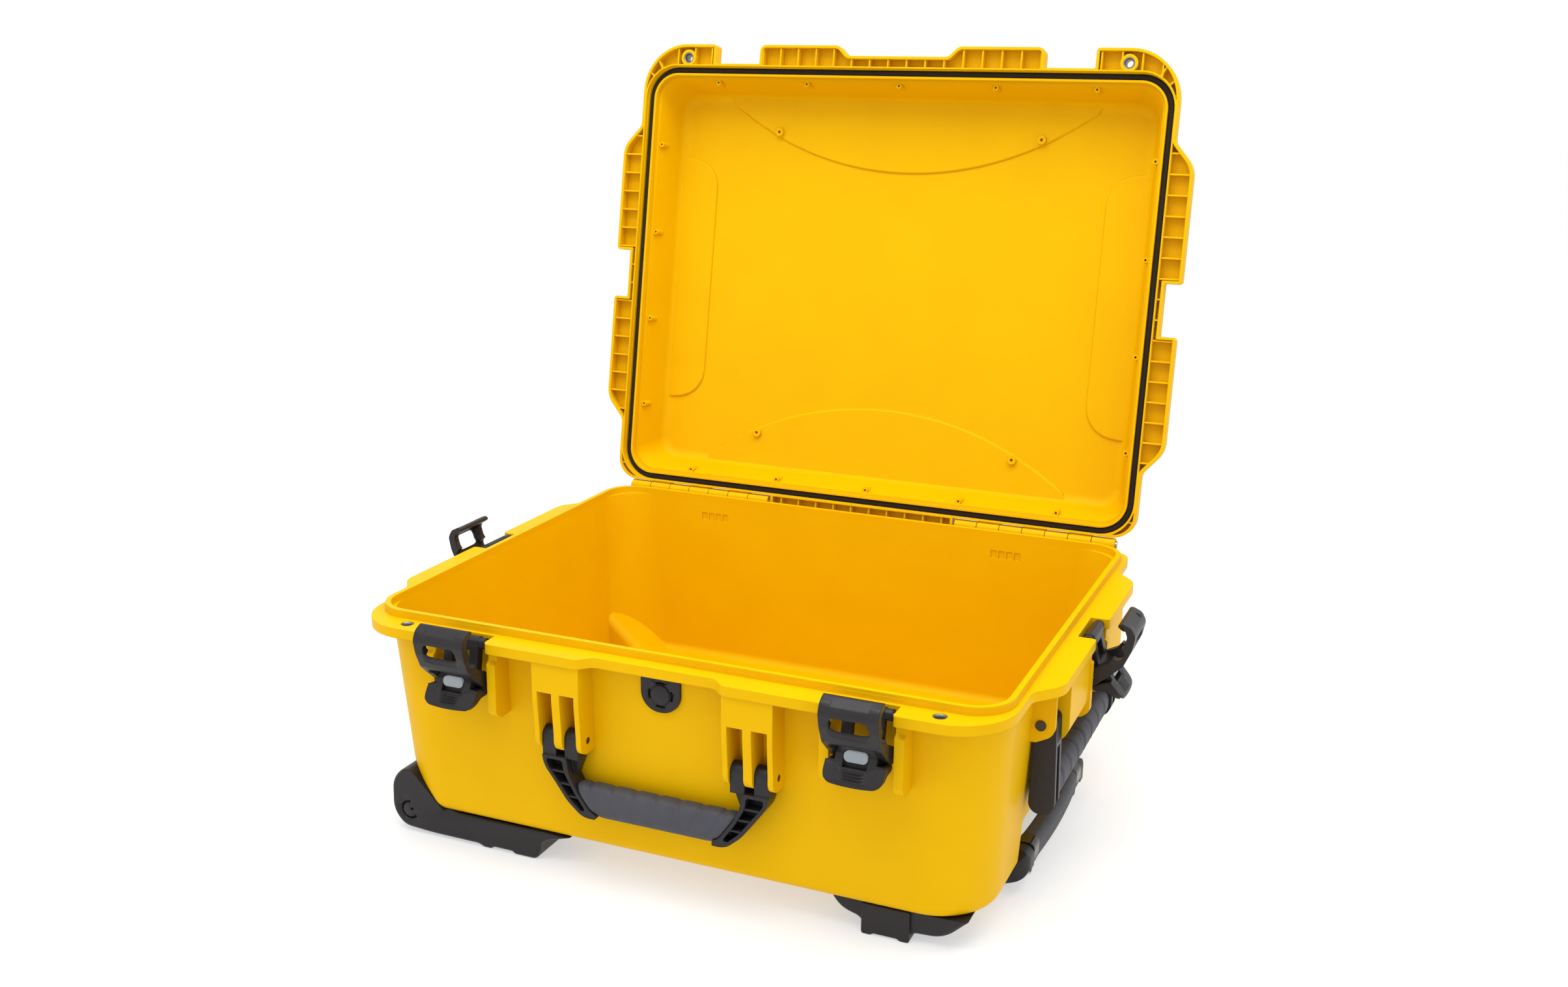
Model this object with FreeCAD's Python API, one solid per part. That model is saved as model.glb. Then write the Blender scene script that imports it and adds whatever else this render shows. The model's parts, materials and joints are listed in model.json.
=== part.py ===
import FreeCAD, Part
import math
import os
from FreeCAD import Vector as V

# Wheeled protective hard case, millimetres, +Z up, front towards -Y, origin on the floor
# under the middle of the base. The lid is open, the latches are open, the handles hang.

# Overall sizes
RIDGE_X = 295.0        # half length of the seal ridge centre line
RIDGE_Y = 233.0        # half width of the seal ridge centre line
BASE_H = 189.0         # underside of the base to the parting plane
LID_H = 62.0           # parting plane to the top of the closed lid
FOOT_H = 28.5          # floor to the underside of the base
LID_OPEN = 100.0       # opening angle of the lid at rest, degrees

# Shells
RIDGE_R = 32.0
RIDGE_W = 5.0
RIDGE_H = 7.0
STEP_H = 4.0           # step inside and outside the ridge
STEP_OUT = 0.5
STEP_ROOM = 1.2        # swing room of the lid outside the step
WALL = 4.5
LID_WALL = 4.0
WALL_OUT = 2.0         # wall outside the ridge centre line at the top
WALL_R_TOP = 46.0      # upright corner of the base at the top
WALL_R_LOW = 56.0
TAPER_X = 12.0
TAPER_Y = 6.0
LID_IN = 5.0           # lid wall inside the ridge centre line
LID_TAPER = 12.0
BOTTOM_R = 10.0
LID_R = 16.0

# Flange, as offsets outside the ridge centre line
FL_LOW = 17.0
FL_FRONT = 28.0
FL_SIDE = 8.0
FL_BUMP = 29.0
FL_REAR = 5.0
FL_H = 9.0             # height of the base flange
DECK = 4.0
SKIRT = 3.5
LID_FL_H = 14.5        # height of the lid flange
LID_SKIRT = 3.0
LIP_HALF = 107.5       # lip of the lid between the two hinge groups
LIP_OUT = 22.0
LID_DECK = 3.0
LOW_HALF = 57.0        # half length of the low middle of the front flange
BUMP_HALF = 145.0      # half length of the side bumps
CORNER_R = 52.0
PART_GAP = 0.4         # gap between the shells when closed
RIB_T = 1.8
RIB_PITCH = 21.0

# Gasket
GASKET_W = 6.0
GASKET_H = 5.0
GASKET_GAP = 0.3
GROOVE_GAP = 0.3
GROOVE_WALL = 2.6

# Eyelets
EYE_IN_X = 46.0        # from the ridge end to the eyelet
EYE_OUT_Y = 13.0
EYE_R = 6.0
EYE_BORE = 4.0
EYE_RIM = 1.2
EYE_RIM_T = 0.8
EYE_BOSS = 3.0

# Hinge
HINGE_OUT = 12.3       # behind the ridge centre line
HINGE_UP = 4.7         # above the parting plane
KNUCKLE_R = 6.5
HINGE_PIN_R = 2.5
HINGE_RUN = 0.08
KNUCKLE_GAP = 0.35
KNUCKLE_CUT = 0.7
KNUCKLES = 7
HINGE_START = 110.0
HINGE_LEN = 174.0
PIN_HEAD = 1.2
PIN_HEAD_T = 2.0

# Latches, measured from the floor of the notch
LATCH_X = 188.0
NOTCH_HALF = 27.0
NOTCH_FRONT = 7.0      # notch floor outside the ridge centre line
NOTCH_SIDE = 12.0
PIVOT_OUT = 8.0
PIVOT_DOWN = 5.0       # pivot below the parting plane
FRONT_OPEN = 10.0      # front lever angle at rest
SIDE_OPEN = 15.0       # side lever angle at rest
FRONT_LEAN = 37.0      # front claw lean at rest
SIDE_LEAN = 36.0       # side claw lean at rest
LINK = 33.0            # lever pivot to claw pin
LINK_TILT = 4.0        # claw pin inside the upright through the pivot, degrees
LEVER_L = 56.0
BARREL_R = 5.8
BARREL_END_R = 5.0     # thin barrel ends that the claw straddles
BARREL_HALF = 24.0
NECK_HALF = 17.5
TAB_HALF = 25.0
LEVER_T = 8.0
LEVER_FACE = 8.0       # front block of the lever outside its neck
TAB_DOWN = 6.5         # top of the wide tab below the claw pin
DISC_ROOM = 0.6        # round the claw discs behind the tab
TAB_RIBS = 3
TAB_FLARE = 16.0       # end of the tab outside the lever's face
CLAW_HALF = 25.0
CLAW_GAP = 0.5         # between the claw discs and the lever neck
CLAW_DISC = 7.5
CLAW_OUT = 13.0        # outside of the claw from its pin
CLAW_IN = -1.5
CLAW_PLATE = 3.0
HOOK_T = 7.0
HOOK_REACH = 15.0
HOOK_GAP = 0.3         # hook above the lid flange when closed
WINDOW_HALF = 16.0
WINDOW_LOW = 43.5
WINDOW_H = 9.5
PLATE_LOW = 25.0
LATCH_PIN_R = 2.0
LATCH_RUN = 0.06
CHEEK_T = 8.5
CHEEK_GAP = 0.5
CHEEK_DOWN = 72.0
CHEEK_OUT = 16.0
SLIDER_HALF = 10.0
SLIDER_L = 9.0
SLIDER_T = 3.0
SLIDER_TRAVEL = 4.0
SLIDE_GAP = 0.35

# Front handle
HANDLE_X = 90.0        # middle of each bracket
H_RIB = 4.0            # half thickness of the bracket's middle rib
H_SLOT = 14.0
H_CHEEK = 5.0
H_BRACKET_OUT = 26.0   # bracket face outside the ridge centre line
H_PIN_OUT = 11.5
H_PIN_DOWN = 80.0
H_PIN_R = 3.0
H_RUN = 0.06
H_EYE_R = 8.5
H_EYE_GAP = 0.4
H_END_R = 12.0
H_TOP = 36.0           # solid top of the bracket below the parting plane
H_DROP = 69.0          # pin to the bottom of the grip
GRIP_HALF = 56.0
GRIP_ROOM = 0.6        # between the ends of the front grip and the arms
GRIP_T = 20.0
GRIP_H = 30.0
CORE_R = 6.0

# Right side handle
S_PIN_OUT = 7.5
S_PIN_DOWN = 44.0
S_ARM_IN = 107.0
S_ARM_W = 19.0
S_ARM_OUT = 13.0       # arm outside the pin
S_EYE_R = 6.5
S_GAP = 0.7
S_CHEEK = 5.0
S_BODY_OUT = 26.0      # bracket body outside the ridge centre line
S_BODY_DOWN = 68.0
S_DROP = 84.0
S_GRIP_T = 24.0
S_GRIP_H = 28.0

# Valve
VALVE_HALF = 18.5
VALVE_TOP = 13.0       # below the parting plane
VALVE_H = 32.0
VALVE_T = 5.0
VALVE_SEAT = 1.6
VALVE_R = 8.5
VALVE_STEM = 6.0
NUT_R = 10.0
NUT_T = 5.0

# Wheels
AXLE_IN = 24.0         # axle inside the end of the ridge
AXLE_Z = 22.5
WHEEL_R = 21.5
WHEEL_W = 31.0
HUB_R = 17.0
BUSH_R = 6.0
AXLE_R = 4.0
AXLE_RUN = 0.06
WHEEL_GAP = 2.0
HOUSE_SET = 4.0        # housing face inside the ridge centre line
HOUSE_W = 47.0
PLATE_T = 6.0
WELL_IN = 61.0         # well reach inside the end of the ridge
WELL_SLOPE = 50.0
WELL_ROOM = 2.6        # least top of the well over the axle, in wheel radii
WELL_ROUND = 9.0
FOOT_WEDGE = 34.0      # wedge of the housing's foot towards the middle
FOOT_IN = 133.0
FOOT_L = 58.0
NOSE_UP = 2.5          # housing above the floor between wheel and foot

# Right feet
RFOOT_IN = 113.0
RFOOT_L = 40.0
RFOOT_W = 44.0
RFOOT_SET = 11.0       # face inside the ridge centre line
WING_L = 30.0

# Tow handle
TUBE_Y = 84.0
TUBE_Z = 16.0
OUT_R = 8.5
OUT_BORE = 7.2
IN_R = 6.9
IN_BORE = 5.5
TRAY_END = 45.0        # end of the tray inside the end of the ridge
TRAY_L = 450.0
TRAY_WALL = 3.0
TOW_LAP = 15.0         # inner tube kept clear of the closed end
TOW_HALF = 113.0
TOW_SET = 8.0          # handle let into the wall's lower edge
TOW_T = 17.0
TOW_TOP = 42.0
TOW_SPLIT = 27.0
TOW_LOW = 4.5
TOW_ARM = 24.0         # arm under the base
TOW_BAND = 17.0
TOW_GRIP = 73.0        # half length of the soft grip
TOW_END_R = 13.0
TOW_BOW = 3.0
TOW_CORE_T = 6.0
BAY_HALF = TOW_HALF + 4
BAY_IN = 45.0
BUTTON_HALF = 20.0
BUTTON_T = 6.0
BUTTON_H = 4.0
BUTTON_TRAVEL = 3.0

# Lid inside
BOSS_X = 153.0
BOSS_Y = 173.0
BOSS_R = 5.0
BOSS_H = 6.0
PAD_T = 2.5

# Share of a straight side that its two corner roundings may take
SIDE_ROOM = 0.98

# Screws
SCREW_R = 2.0
SCREW_HEAD = 4.0
SCREW_HEAD_T = 3.0

PART_Z = FOOT_H + BASE_H
LID_TOP = PART_Z + LID_H
LEDGE_Z = PART_Z + LID_FL_H
GASKET_Z = PART_Z + RIDGE_H + GASKET_GAP
OUT_X = RIDGE_X + WALL_OUT
OUT_Y = RIDGE_Y + WALL_OUT
LOW_X = OUT_X - TAPER_X
LOW_Y = OUT_Y - TAPER_Y
HINGE_Y = RIDGE_Y + HINGE_OUT
HINGE_Z = PART_Z + HINGE_UP
PIVOT_Z = PART_Z - PIVOT_DOWN
PIN_IN = LINK * math.sin(math.radians(LINK_TILT))
PIN_LOW = LINK * math.cos(math.radians(LINK_TILT))
HOOK_V = LEDGE_Z + HOOK_GAP - (PIVOT_Z - PIN_LOW)
EYE_X = RIDGE_X - EYE_IN_X
EYE_Y = -(RIDGE_Y + EYE_OUT_Y)
AXLE_X = -(RIDGE_X - AXLE_IN)
AX, AY, AZ = V(1, 0, 0), V(0, 1, 0), V(0, 0, 1)


def box(x0, x1, y0, y1, z0, z1):
    return Part.makeBox(x1 - x0, y1 - y0, z1 - z0, V(x0, y0, z0))


def rod(start, axis, radius, length):
    return Part.makeCylinder(radius, length, start, axis)


def tube(start, axis, radius, bore, length):
    return rod(start, axis, radius, length).cut(rod(start, axis, bore, length))


def fuse(shapes):
    shapes = list(shapes)
    if len(shapes) == 1:
        return shapes[0]
    return shapes[0].multiFuse(shapes[1:]).removeSplitter()


def cut(shape, tools):
    tools = list(tools)
    return shape.cut(tools) if tools else shape


def mirror(shape, axis):
    return shape.mirror(V(0, 0, 0), axis)


def path(points, place):
    """Closed wire through (a, b, radius) corners, placed in space by the function place.

    A radius that its two straight sides have no room for is made smaller.
    """
    count = len(points)
    corners = [V(p[0], p[1], 0) for p in points]
    backs = [(corners[i - 1] - corners[i]).normalize() for i in range(count)]
    aheads = [(corners[(i + 1) % count] - corners[i]).normalize() for i in range(count)]
    halves = [0.5 * math.acos(max(-1, min(1, backs[i].dot(aheads[i])))) for i in range(count)]
    wanted = [p[2] / math.tan(h) if len(p) > 2 else 0 for p, h in zip(points, halves)]
    reach = list(wanted)
    for i in range(count):
        after = (i + 1) % count
        total = wanted[i] + wanted[after]
        room = SIDE_ROOM * (corners[after] - corners[i]).Length
        if total > room:
            reach[i] = min(reach[i], wanted[i] * room / total)
            reach[after] = min(reach[after], wanted[after] * room / total)
    edges = []
    for i in range(count):
        after = (i + 1) % count
        leave = corners[i] + aheads[i] * reach[i]
        if reach[i] > 1e-6:
            enter = corners[i] + backs[i] * reach[i]
            inwards = (backs[i] + aheads[i]).normalize()
            depth = reach[i] * (1 - math.sin(halves[i])) / math.cos(halves[i])
            mid = corners[i] + inwards * depth
            edges.append(Part.Arc(place(enter), place(mid), place(leave)).toShape())
        start = corners[after] + backs[after] * reach[after]
        if (start - leave).Length > 1e-6:
            edges.append(Part.LineSegment(place(leave), place(start)).toShape())
    return Part.Wire(edges)


def prism(points, z0, z1):
    wire = path(points, lambda p: V(p.x, p.y, z0))
    return Part.Face(wire).extrude(V(0, 0, z1 - z0))


def prism_y(points, y0, y1):
    """Corners are (x, z, radius); extruded along Y."""
    wire = path(points, lambda p: V(p.x, y0, p.y))
    return Part.Face(wire).extrude(V(0, y1 - y0, 0))


def prism_x(points, x0, x1):
    """Corners are (y, z, radius); extruded along X."""
    wire = path(points, lambda p: V(x0, p.x, p.y))
    return Part.Face(wire).extrude(V(x1 - x0, 0, 0))


def rect(hx, hy, r):
    return [(-hx, -hy, r), (hx, -hy, r), (hx, hy, r), (-hx, hy, r)]


def rect_wire(hx, hy, r, z):
    return path(rect(hx, hy, r), lambda p: V(p.x, p.y, z))


def block(hx, hy, r, z0, z1):
    return prism(rect(hx, hy, r), z0, z1)


def taper(hx0, hy0, r0, z0, hx1, hy1, r1, z1):
    return Part.makeLoft([rect_wire(hx0, hy0, r0, z0), rect_wire(hx1, hy1, r1, z1)], True, True)


def level_edges(shape, z):
    return [e for e in shape.Edges if abs(e.BoundBox.ZMin - z) < 1e-4 and abs(e.BoundBox.ZMax - z) < 1e-4]


def band(out, z0, z1, inner):
    """Rounded ring about the ridge centre line, from inner to out, as offsets."""
    ring = block(RIDGE_X + out, RIDGE_Y + out, RIDGE_R + out, z0, z1)
    return ring.cut(block(RIDGE_X + inner, RIDGE_Y + inner, RIDGE_R + inner, z0, z1))


def half_outline(s):
    """Right half of the flange outline, drawn in by s, from front to rear."""
    low, front = -(RIDGE_Y + FL_LOW - s), -(RIDGE_Y + FL_FRONT - s)
    side, bump = RIDGE_X + FL_SIDE - s, RIDGE_X + FL_BUMP - s
    notch_y, notch_x = -(RIDGE_Y + NOTCH_FRONT - s), RIDGE_X + NOTCH_SIDE - s
    n0, n1 = LATCH_X - NOTCH_HALF - s, LATCH_X + NOTCH_HALF + s
    slant = FL_FRONT - FL_LOW
    b0 = BUMP_HALF + 1.15 * (FL_BUMP - FL_SIDE) - 0.55 * s
    b1 = BUMP_HALF - 0.55 * s
    rear = RIDGE_Y + FL_REAR - s
    return [
        (LOW_HALF + 0.4 * s, low, 9), (LOW_HALF + slant + 0.4 * s, front, 9),
        (n0, front, max(7 - s, 1)), (n0, notch_y, 1.5), (n1, notch_y, 1.5),
        (n1, front, max(3.6 - s, 0.6)), (side, front, CORNER_R - s),
        (side, -b0, 12 + s), (bump, -b1, 28 - s),
        (bump, -NOTCH_HALF - s, max(3.6 - s, 0.6)), (notch_x, -NOTCH_HALF - s, 1.2),
        (notch_x, NOTCH_HALF + s, 1.2), (bump, NOTCH_HALF + s, max(3.6 - s, 0.6)),
        (bump, b1, 28 - s), (side, b0, 12 + s), (side, rear, 24 - s),
    ]


def outline(s=0.0):
    right = half_outline(s)
    return right + [(-x, y, r) for x, y, r in reversed(right)]


def latch_places():
    """Name, turn about Z, opening and pivot point of each latch; drawn facing the front."""
    front = -(RIDGE_Y + NOTCH_FRONT + PIVOT_OUT)
    side = RIDGE_X + NOTCH_SIDE + PIVOT_OUT
    return [
        ("front_left", 0, FRONT_OPEN, FRONT_LEAN, V(-LATCH_X, front, PIVOT_Z)),
        ("front_right", 0, FRONT_OPEN, FRONT_LEAN, V(LATCH_X, front, PIVOT_Z)),
        ("right", 90, SIDE_OPEN, SIDE_LEAN, V(side, 0, PIVOT_Z)),
        ("left", -90, SIDE_OPEN, SIDE_LEAN, V(-side, 0, PIVOT_Z)),
    ]


def put_latch(shape, turn, pivot):
    shape = shape.copy()
    shape.rotate(V(0, 0, 0), AZ, turn)
    shape.translate(pivot)
    return shape


def wall_y(z):
    """Outer face of the front wall at a height, as a positive distance."""
    return LOW_Y + TAPER_Y * (z - FOOT_H) / BASE_H


def wall_x(z):
    return LOW_X + TAPER_X * (z - FOOT_H) / BASE_H


def well_shape(grow):
    """Space cut out of the left lower corner for the wheel, seen along Y."""
    top = max(PART_Z - CHEEK_DOWN - 40, AXLE_Z + WELL_ROOM * WHEEL_R)
    slope = math.tan(math.radians(WELL_SLOPE))
    low = -(RIDGE_X - WELL_IN) + grow
    shift = grow * 0.55
    edge = -(RIDGE_X + 15)
    return [
        (edge, FOOT_H - 5), (low + shift, FOOT_H - 5), (low + shift, FOOT_H + 2, 6),
        (edge, min(top, FOOT_H + 2 + (low + shift - edge) * slope)),
    ]


def bay_shape(grow):
    """Finger space behind the tow handle, seen along Y."""
    slope = math.tan(math.radians(WELL_SLOPE))
    low = RIDGE_X - BAY_IN - grow * 1.55
    edge = RIDGE_X + 15
    return [
        (edge, FOOT_H - 5), (edge, FOOT_H + 2 + (edge - low) * slope),
        (low, FOOT_H + 2, 6), (low, FOOT_H - 5),
    ]


def house_y():
    """Near and far faces of the front wheel housing."""
    near = -(RIDGE_Y - HOUSE_SET)
    return near, near + HOUSE_W


def screw_places():
    """Screws that hold housings, feet and tray under the base."""
    near, far = house_y()
    mid = 0.5 * (near + far)
    spots = []
    for y in (mid, -mid):
        spots.append((-(RIDGE_X - FOOT_IN) - 34, y))
        spots.append((-(RIDGE_X - FOOT_IN) + 14, y))
    foot = RIDGE_Y - RFOOT_SET - RFOOT_W / 2
    centre = RIDGE_X - RFOOT_IN + RFOOT_L / 2
    for y in (-foot, foot):
        spots.append((centre - RFOOT_L / 2 - WING_L / 2, y))
        spots.append((centre + RFOOT_L / 2 + WING_L / 2, y))
    end = RIDGE_X - TRAY_END
    for x in (end - 60, end - TRAY_L + 60):
        for y in (-TUBE_Y / 2, TUBE_Y / 2):
            spots.append((x, y))
    return spots


def base_shell():
    outer = taper(LOW_X, LOW_Y, WALL_R_LOW, FOOT_H, OUT_X, OUT_Y, WALL_R_TOP, PART_Z)
    outer = outer.makeFillet(BOTTOM_R, level_edges(outer, FOOT_H))
    inner = taper(LOW_X - WALL, LOW_Y - WALL, WALL_R_LOW - WALL, FOOT_H + WALL,
                  OUT_X - WALL, OUT_Y - WALL, WALL_R_TOP - WALL, PART_Z)
    inner = inner.makeFillet(BOTTOM_R - WALL / 2, level_edges(inner, FOOT_H + WALL))
    mouth = block(OUT_X - WALL, OUT_Y - WALL, WALL_R_TOP - WALL, PART_Z, PART_Z + 30)

    flange = prism(outline(), PART_Z - FL_H, PART_Z)
    hollow = prism(outline(SKIRT), PART_Z - FL_H, PART_Z - DECK).cut(outer)
    outside = [flange.cut(hollow)] + rim_parts() + latch_cheeks() + front_brackets() + side_brackets()
    shell = fuse([outer] + outside + eyelet_bosses() + base_knuckles())
    shell = cut(shell, [inner, mouth.cut(rim_keep())])
    near, rear = well_sides(WALL)
    grow = [rounded_well(*near, near[1]), rounded_well(*rear, rear[0])]
    grow.append(prism_y(bay_shape(WALL), -BAY_HALF - WALL, BAY_HALF + WALL))
    shell = fuse([shell] + [outer.common(g) for g in grow])
    wells = [prism_y(well_shape(0), *side) for side in well_sides(0)]
    wells.append(prism_y(bay_shape(0), -BAY_HALF, BAY_HALF))
    return cut(shell, wells + base_cuts())


def rounded_well(y0, y1, end):
    """Cover of a wheel well inside the base, with its sloping edge rounded at one end."""
    solid = prism_y(well_shape(WALL), y0, y1)
    edges = []
    for e in solid.Edges:
        b = e.BoundBox
        if abs(b.YMin - end) < 1e-3 and b.YLength < 1e-3 and b.XLength > 0.5 and b.ZMax > FOOT_H + 1:
            edges.append(e)
    return solid.makeFillet(WELL_ROUND, edges)


def well_sides(grow):
    near, far = house_y()
    return [(near - 10, far + 1 + grow), (-far - 1 - grow, -near + 10)]


def rim_keep():
    """Part of the mouth that the rim step and ridge fill."""
    return band(RIDGE_W / 2 + STEP_OUT, PART_Z, PART_Z + RIDGE_H, -RIDGE_W / 2 - 2)


def rim_parts():
    step = band(RIDGE_W / 2 + STEP_OUT, PART_Z - DECK, PART_Z + STEP_H, -RIDGE_W / 2)
    ridge = band(RIDGE_W / 2, PART_Z - DECK, PART_Z + RIDGE_H, -RIDGE_W / 2)
    return [step, ridge]


def latch_cheeks():
    inner = NOTCH_HALF + CHEEK_GAP
    found = []
    for name, turn, opened, lean, pivot in latch_places():
        reach = NOTCH_FRONT if turn == 0 else NOTCH_SIDE
        wall = PIVOT_OUT + reach + 1
        depth = CHEEK_OUT - PIVOT_OUT
        profile = [
            (wall, PIVOT_DOWN - 0.5), (-depth + 4, PIVOT_DOWN - 0.5, 3), (-depth + 4, -13, 2),
            (-depth, -16, 2), (-depth, PIVOT_DOWN - CHEEK_DOWN + 6, 6),
            (-depth + 7, PIVOT_DOWN - CHEEK_DOWN, 6), (wall, PIVOT_DOWN - CHEEK_DOWN),
        ]
        for side in (-1, 1):
            a, b = sorted((side * inner, side * (inner + CHEEK_T)))
            found.append(put_latch(prism_x(profile, a, b), turn, pivot))
    return found


def handle_pin():
    return -(RIDGE_Y + H_PIN_OUT), PART_Z - H_PIN_DOWN


def front_brackets():
    py, pz = handle_pin()
    face = -(RIDGE_Y + H_BRACKET_OUT)
    wall = -wall_y(FOOT_H) + 2
    top = PART_Z - 1
    profile = [
        (wall, top), (face, top), (face, PART_Z - H_TOP - 8, 20), (py - H_END_R, pz + 6, 10),
        (py - H_END_R, pz - H_END_R, H_END_R - 0.5), (wall, pz - H_END_R),
    ]
    half = H_RIB + H_SLOT + H_CHEEK
    head = [(wall, top), (face, top), (face, PART_Z - H_TOP), (wall, PART_Z - H_TOP)]
    found = []
    for x in (-HANDLE_X, HANDLE_X):
        rib = prism_x(profile, x - H_RIB, x + H_RIB)
        left = prism_x(profile, x - half, x - half + H_CHEEK)
        right = prism_x(profile, x + half - H_CHEEK, x + half)
        found += [rib, left, right, prism_x(head, x - half, x + half)]
    return found


def side_pin():
    return RIDGE_X + S_PIN_OUT, PART_Z - S_PIN_DOWN


def side_brackets():
    px, pz = side_pin()
    wall = wall_x(FOOT_H) - 2
    face = RIDGE_X + S_BODY_OUT
    low = PART_Z - S_BODY_DOWN
    body_in = NOTCH_HALF + CHEEK_GAP + 1
    body_out = S_ARM_IN - S_GAP
    cheek_in = S_ARM_IN + S_ARM_W + S_GAP
    plate = [
        (wall, PART_Z - 2), (face, PART_Z - 2), (face, low + 4, 16), (wall + 20, low - 1, 8),
        (wall, low - 4),
    ]
    cheek = [
        (wall, PART_Z - 2), (px + 12, PART_Z - 2), (px + 12, pz - 8, 12), (px - 4, pz - 16, 6),
        (wall, pz - 16),
    ]
    found = []
    for side in (-1, 1):
        a, b = sorted((side * body_in, side * body_out))
        solid = prism_y(plate, a, b)
        hollow = prism_y([(wall - 6, PART_Z - 2 - SKIRT), (face - SKIRT, PART_Z - 2 - SKIRT),
                          (face - SKIRT, low + 6, 13), (wall + 14, low - 12), (wall - 6, low - 12)],
                         a + SKIRT, b - SKIRT)
        found.append(solid.cut(hollow))
        a, b = sorted((side * cheek_in, side * (cheek_in + S_CHEEK)))
        found.append(prism_y(cheek, a, b))
    return found


def eyelet_bosses():
    low = PART_Z - FL_H
    return [rod(V(x, EYE_Y, low), AZ, EYE_R + EYE_BOSS, FL_H) for x in (-EYE_X, EYE_X)]


def knuckle_spans():
    """Start and end of each knuckle of the right group; even ones belong to the base."""
    pitch = HINGE_LEN / KNUCKLES
    return [(HINGE_START + i * pitch, HINGE_START + (i + 1) * pitch) for i in range(KNUCKLES)]


def base_knuckles():
    found = []
    for i, (a, b) in enumerate(knuckle_spans()):
        if i % 2:
            continue
        a, b = a + KNUCKLE_GAP, b - KNUCKLE_GAP
        barrel = rod(V(a, HINGE_Y, HINGE_Z), AX, KNUCKLE_R, b - a)
        web = box(a, b, HINGE_Y - KNUCKLE_R, HINGE_Y + KNUCKLE_R, PART_Z - FL_H, HINGE_Z)
        root = box(a, b, OUT_Y - 1, HINGE_Y, PART_Z - FL_H, PART_Z)
        lug = fuse([barrel, web, root])
        found += [lug, mirror(lug, AX)]
    return found


def base_cuts():
    tools = []
    low = PART_Z - FL_H
    for x in (-EYE_X, EYE_X):
        tools.append(rod(V(x, EYE_Y, low - 1), AZ, EYE_R, FL_H + 2))
    span = HINGE_LEN + 2 * PIN_HEAD_T + 4
    for x in (HINGE_START - 2, -HINGE_START + 2 - span):
        tools.append(rod(V(x, HINGE_Y, HINGE_Z), AX, HINGE_PIN_R, span))
    for i, (a, b) in enumerate(knuckle_spans()):
        if i % 2 == 0:
            continue
        room = rod(V(a - KNUCKLE_GAP, HINGE_Y, HINGE_Z), AX, KNUCKLE_R + KNUCKLE_CUT,
            b - a + 2 * KNUCKLE_GAP)
        tools += [room, mirror(room, AX)]
    for name, turn, opened, lean, pivot in latch_places():
        half = NOTCH_HALF + CHEEK_GAP + CHEEK_T - 2
        tools.append(put_latch(rod(V(-half, 0, 0), AX, LATCH_PIN_R, 2 * half), turn, pivot))
    py, pz = handle_pin()
    half = H_RIB + H_SLOT + H_CHEEK
    for x in (-HANDLE_X, HANDLE_X):
        tools.append(rod(V(x - half, py, pz), AX, H_PIN_R, 2 * half))
    px, pz = side_pin()
    inner, outer = S_ARM_IN - S_GAP - 6, S_ARM_IN + S_ARM_W + S_GAP + S_CHEEK
    pin = rod(V(px, inner, pz), AY, H_PIN_R, outer - inner)
    tools += [pin, mirror(pin, AY)]
    tools.append(valve_plate(0))
    tools.append(rod(V(0, -RIDGE_Y - 12, valve_z()), AY, VALVE_STEM, 30))
    for x, y in screw_places():
        tools.append(rod(V(x, y, FOOT_H - 1), AZ, SCREW_R, WALL))
    back = OUT_Y - WALL - 4
    for side in (-1, 1):
        for i in range(4):
            x = side * 171 + (i - 1.5) * 8.6
            tools.append(box(x - 3.1, x + 3.1, back - 2, back + 4.2, PART_Z - 22, PART_Z - 14))
    return tools


def valve_z():
    return PART_Z - VALVE_TOP - VALVE_H / 2


def valve_back():
    """Flat seat of the valve plate in the front wall."""
    return -(wall_y(PART_Z - VALVE_TOP - VALVE_H) - VALVE_SEAT)


def valve_plate(s):
    top = PART_Z - VALVE_TOP - s
    low = PART_Z - VALVE_TOP - VALVE_H + s
    half = VALVE_HALF - s
    shape = [(-half, top, 2), (-half, low, half - 1), (half, low, half - 1), (half, top, 2)]
    back = valve_back()
    return prism_y(shape, back - VALVE_T, back)


def valve_pieces():
    back = valve_back()
    face = back - VALVE_T
    z = valve_z()
    room = rod(V(0, face, z), AY, VALVE_R + 0.6, 1.2)
    cover = cut(valve_plate(0), [room, rod(V(0, face, z), AY, VALVE_STEM, VALVE_T + 1)])
    end = -(wall_y(z) - WALL) + NUT_T + 1.5
    head = rod(V(0, face - 0.4, z), AY, VALVE_R, 1.6)
    stem = rod(V(0, face + 1.2, z), AY, VALVE_STEM, end - face - 1.2)
    slots = []
    for angle in (0, 90, 180, 270):
        slot = box(-2.6, 2.6, face - 1, face + 0.5, VALVE_R - 2.6, VALVE_R - 1.2)
        slot.rotate(V(0, 0, 0), AY, angle)
        slot.translate(V(0, 0, z))
        slots.append(slot)
    core = cut(fuse([head, stem]), slots)
    start = -(wall_y(z - NUT_R) - WALL) + 0.05
    nut = tube(V(0, start, z), AY, NUT_R, VALVE_STEM, NUT_T)
    return cover, core, nut


def lid_outer(grow):
    """Outside of the closed lid above its flange; a negative grow gives the inside."""
    hx, hy = RIDGE_X - LID_IN + grow, RIDGE_Y - LID_IN + grow
    r = RIDGE_R - LID_IN + grow
    start = PART_Z + RIDGE_H + GASKET_H
    top = LID_TOP + grow
    body = taper(hx, hy, r, start, hx - LID_TAPER, hy - LID_TAPER, r, top)
    return body.makeFillet(LID_R + grow, level_edges(body, top))


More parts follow.
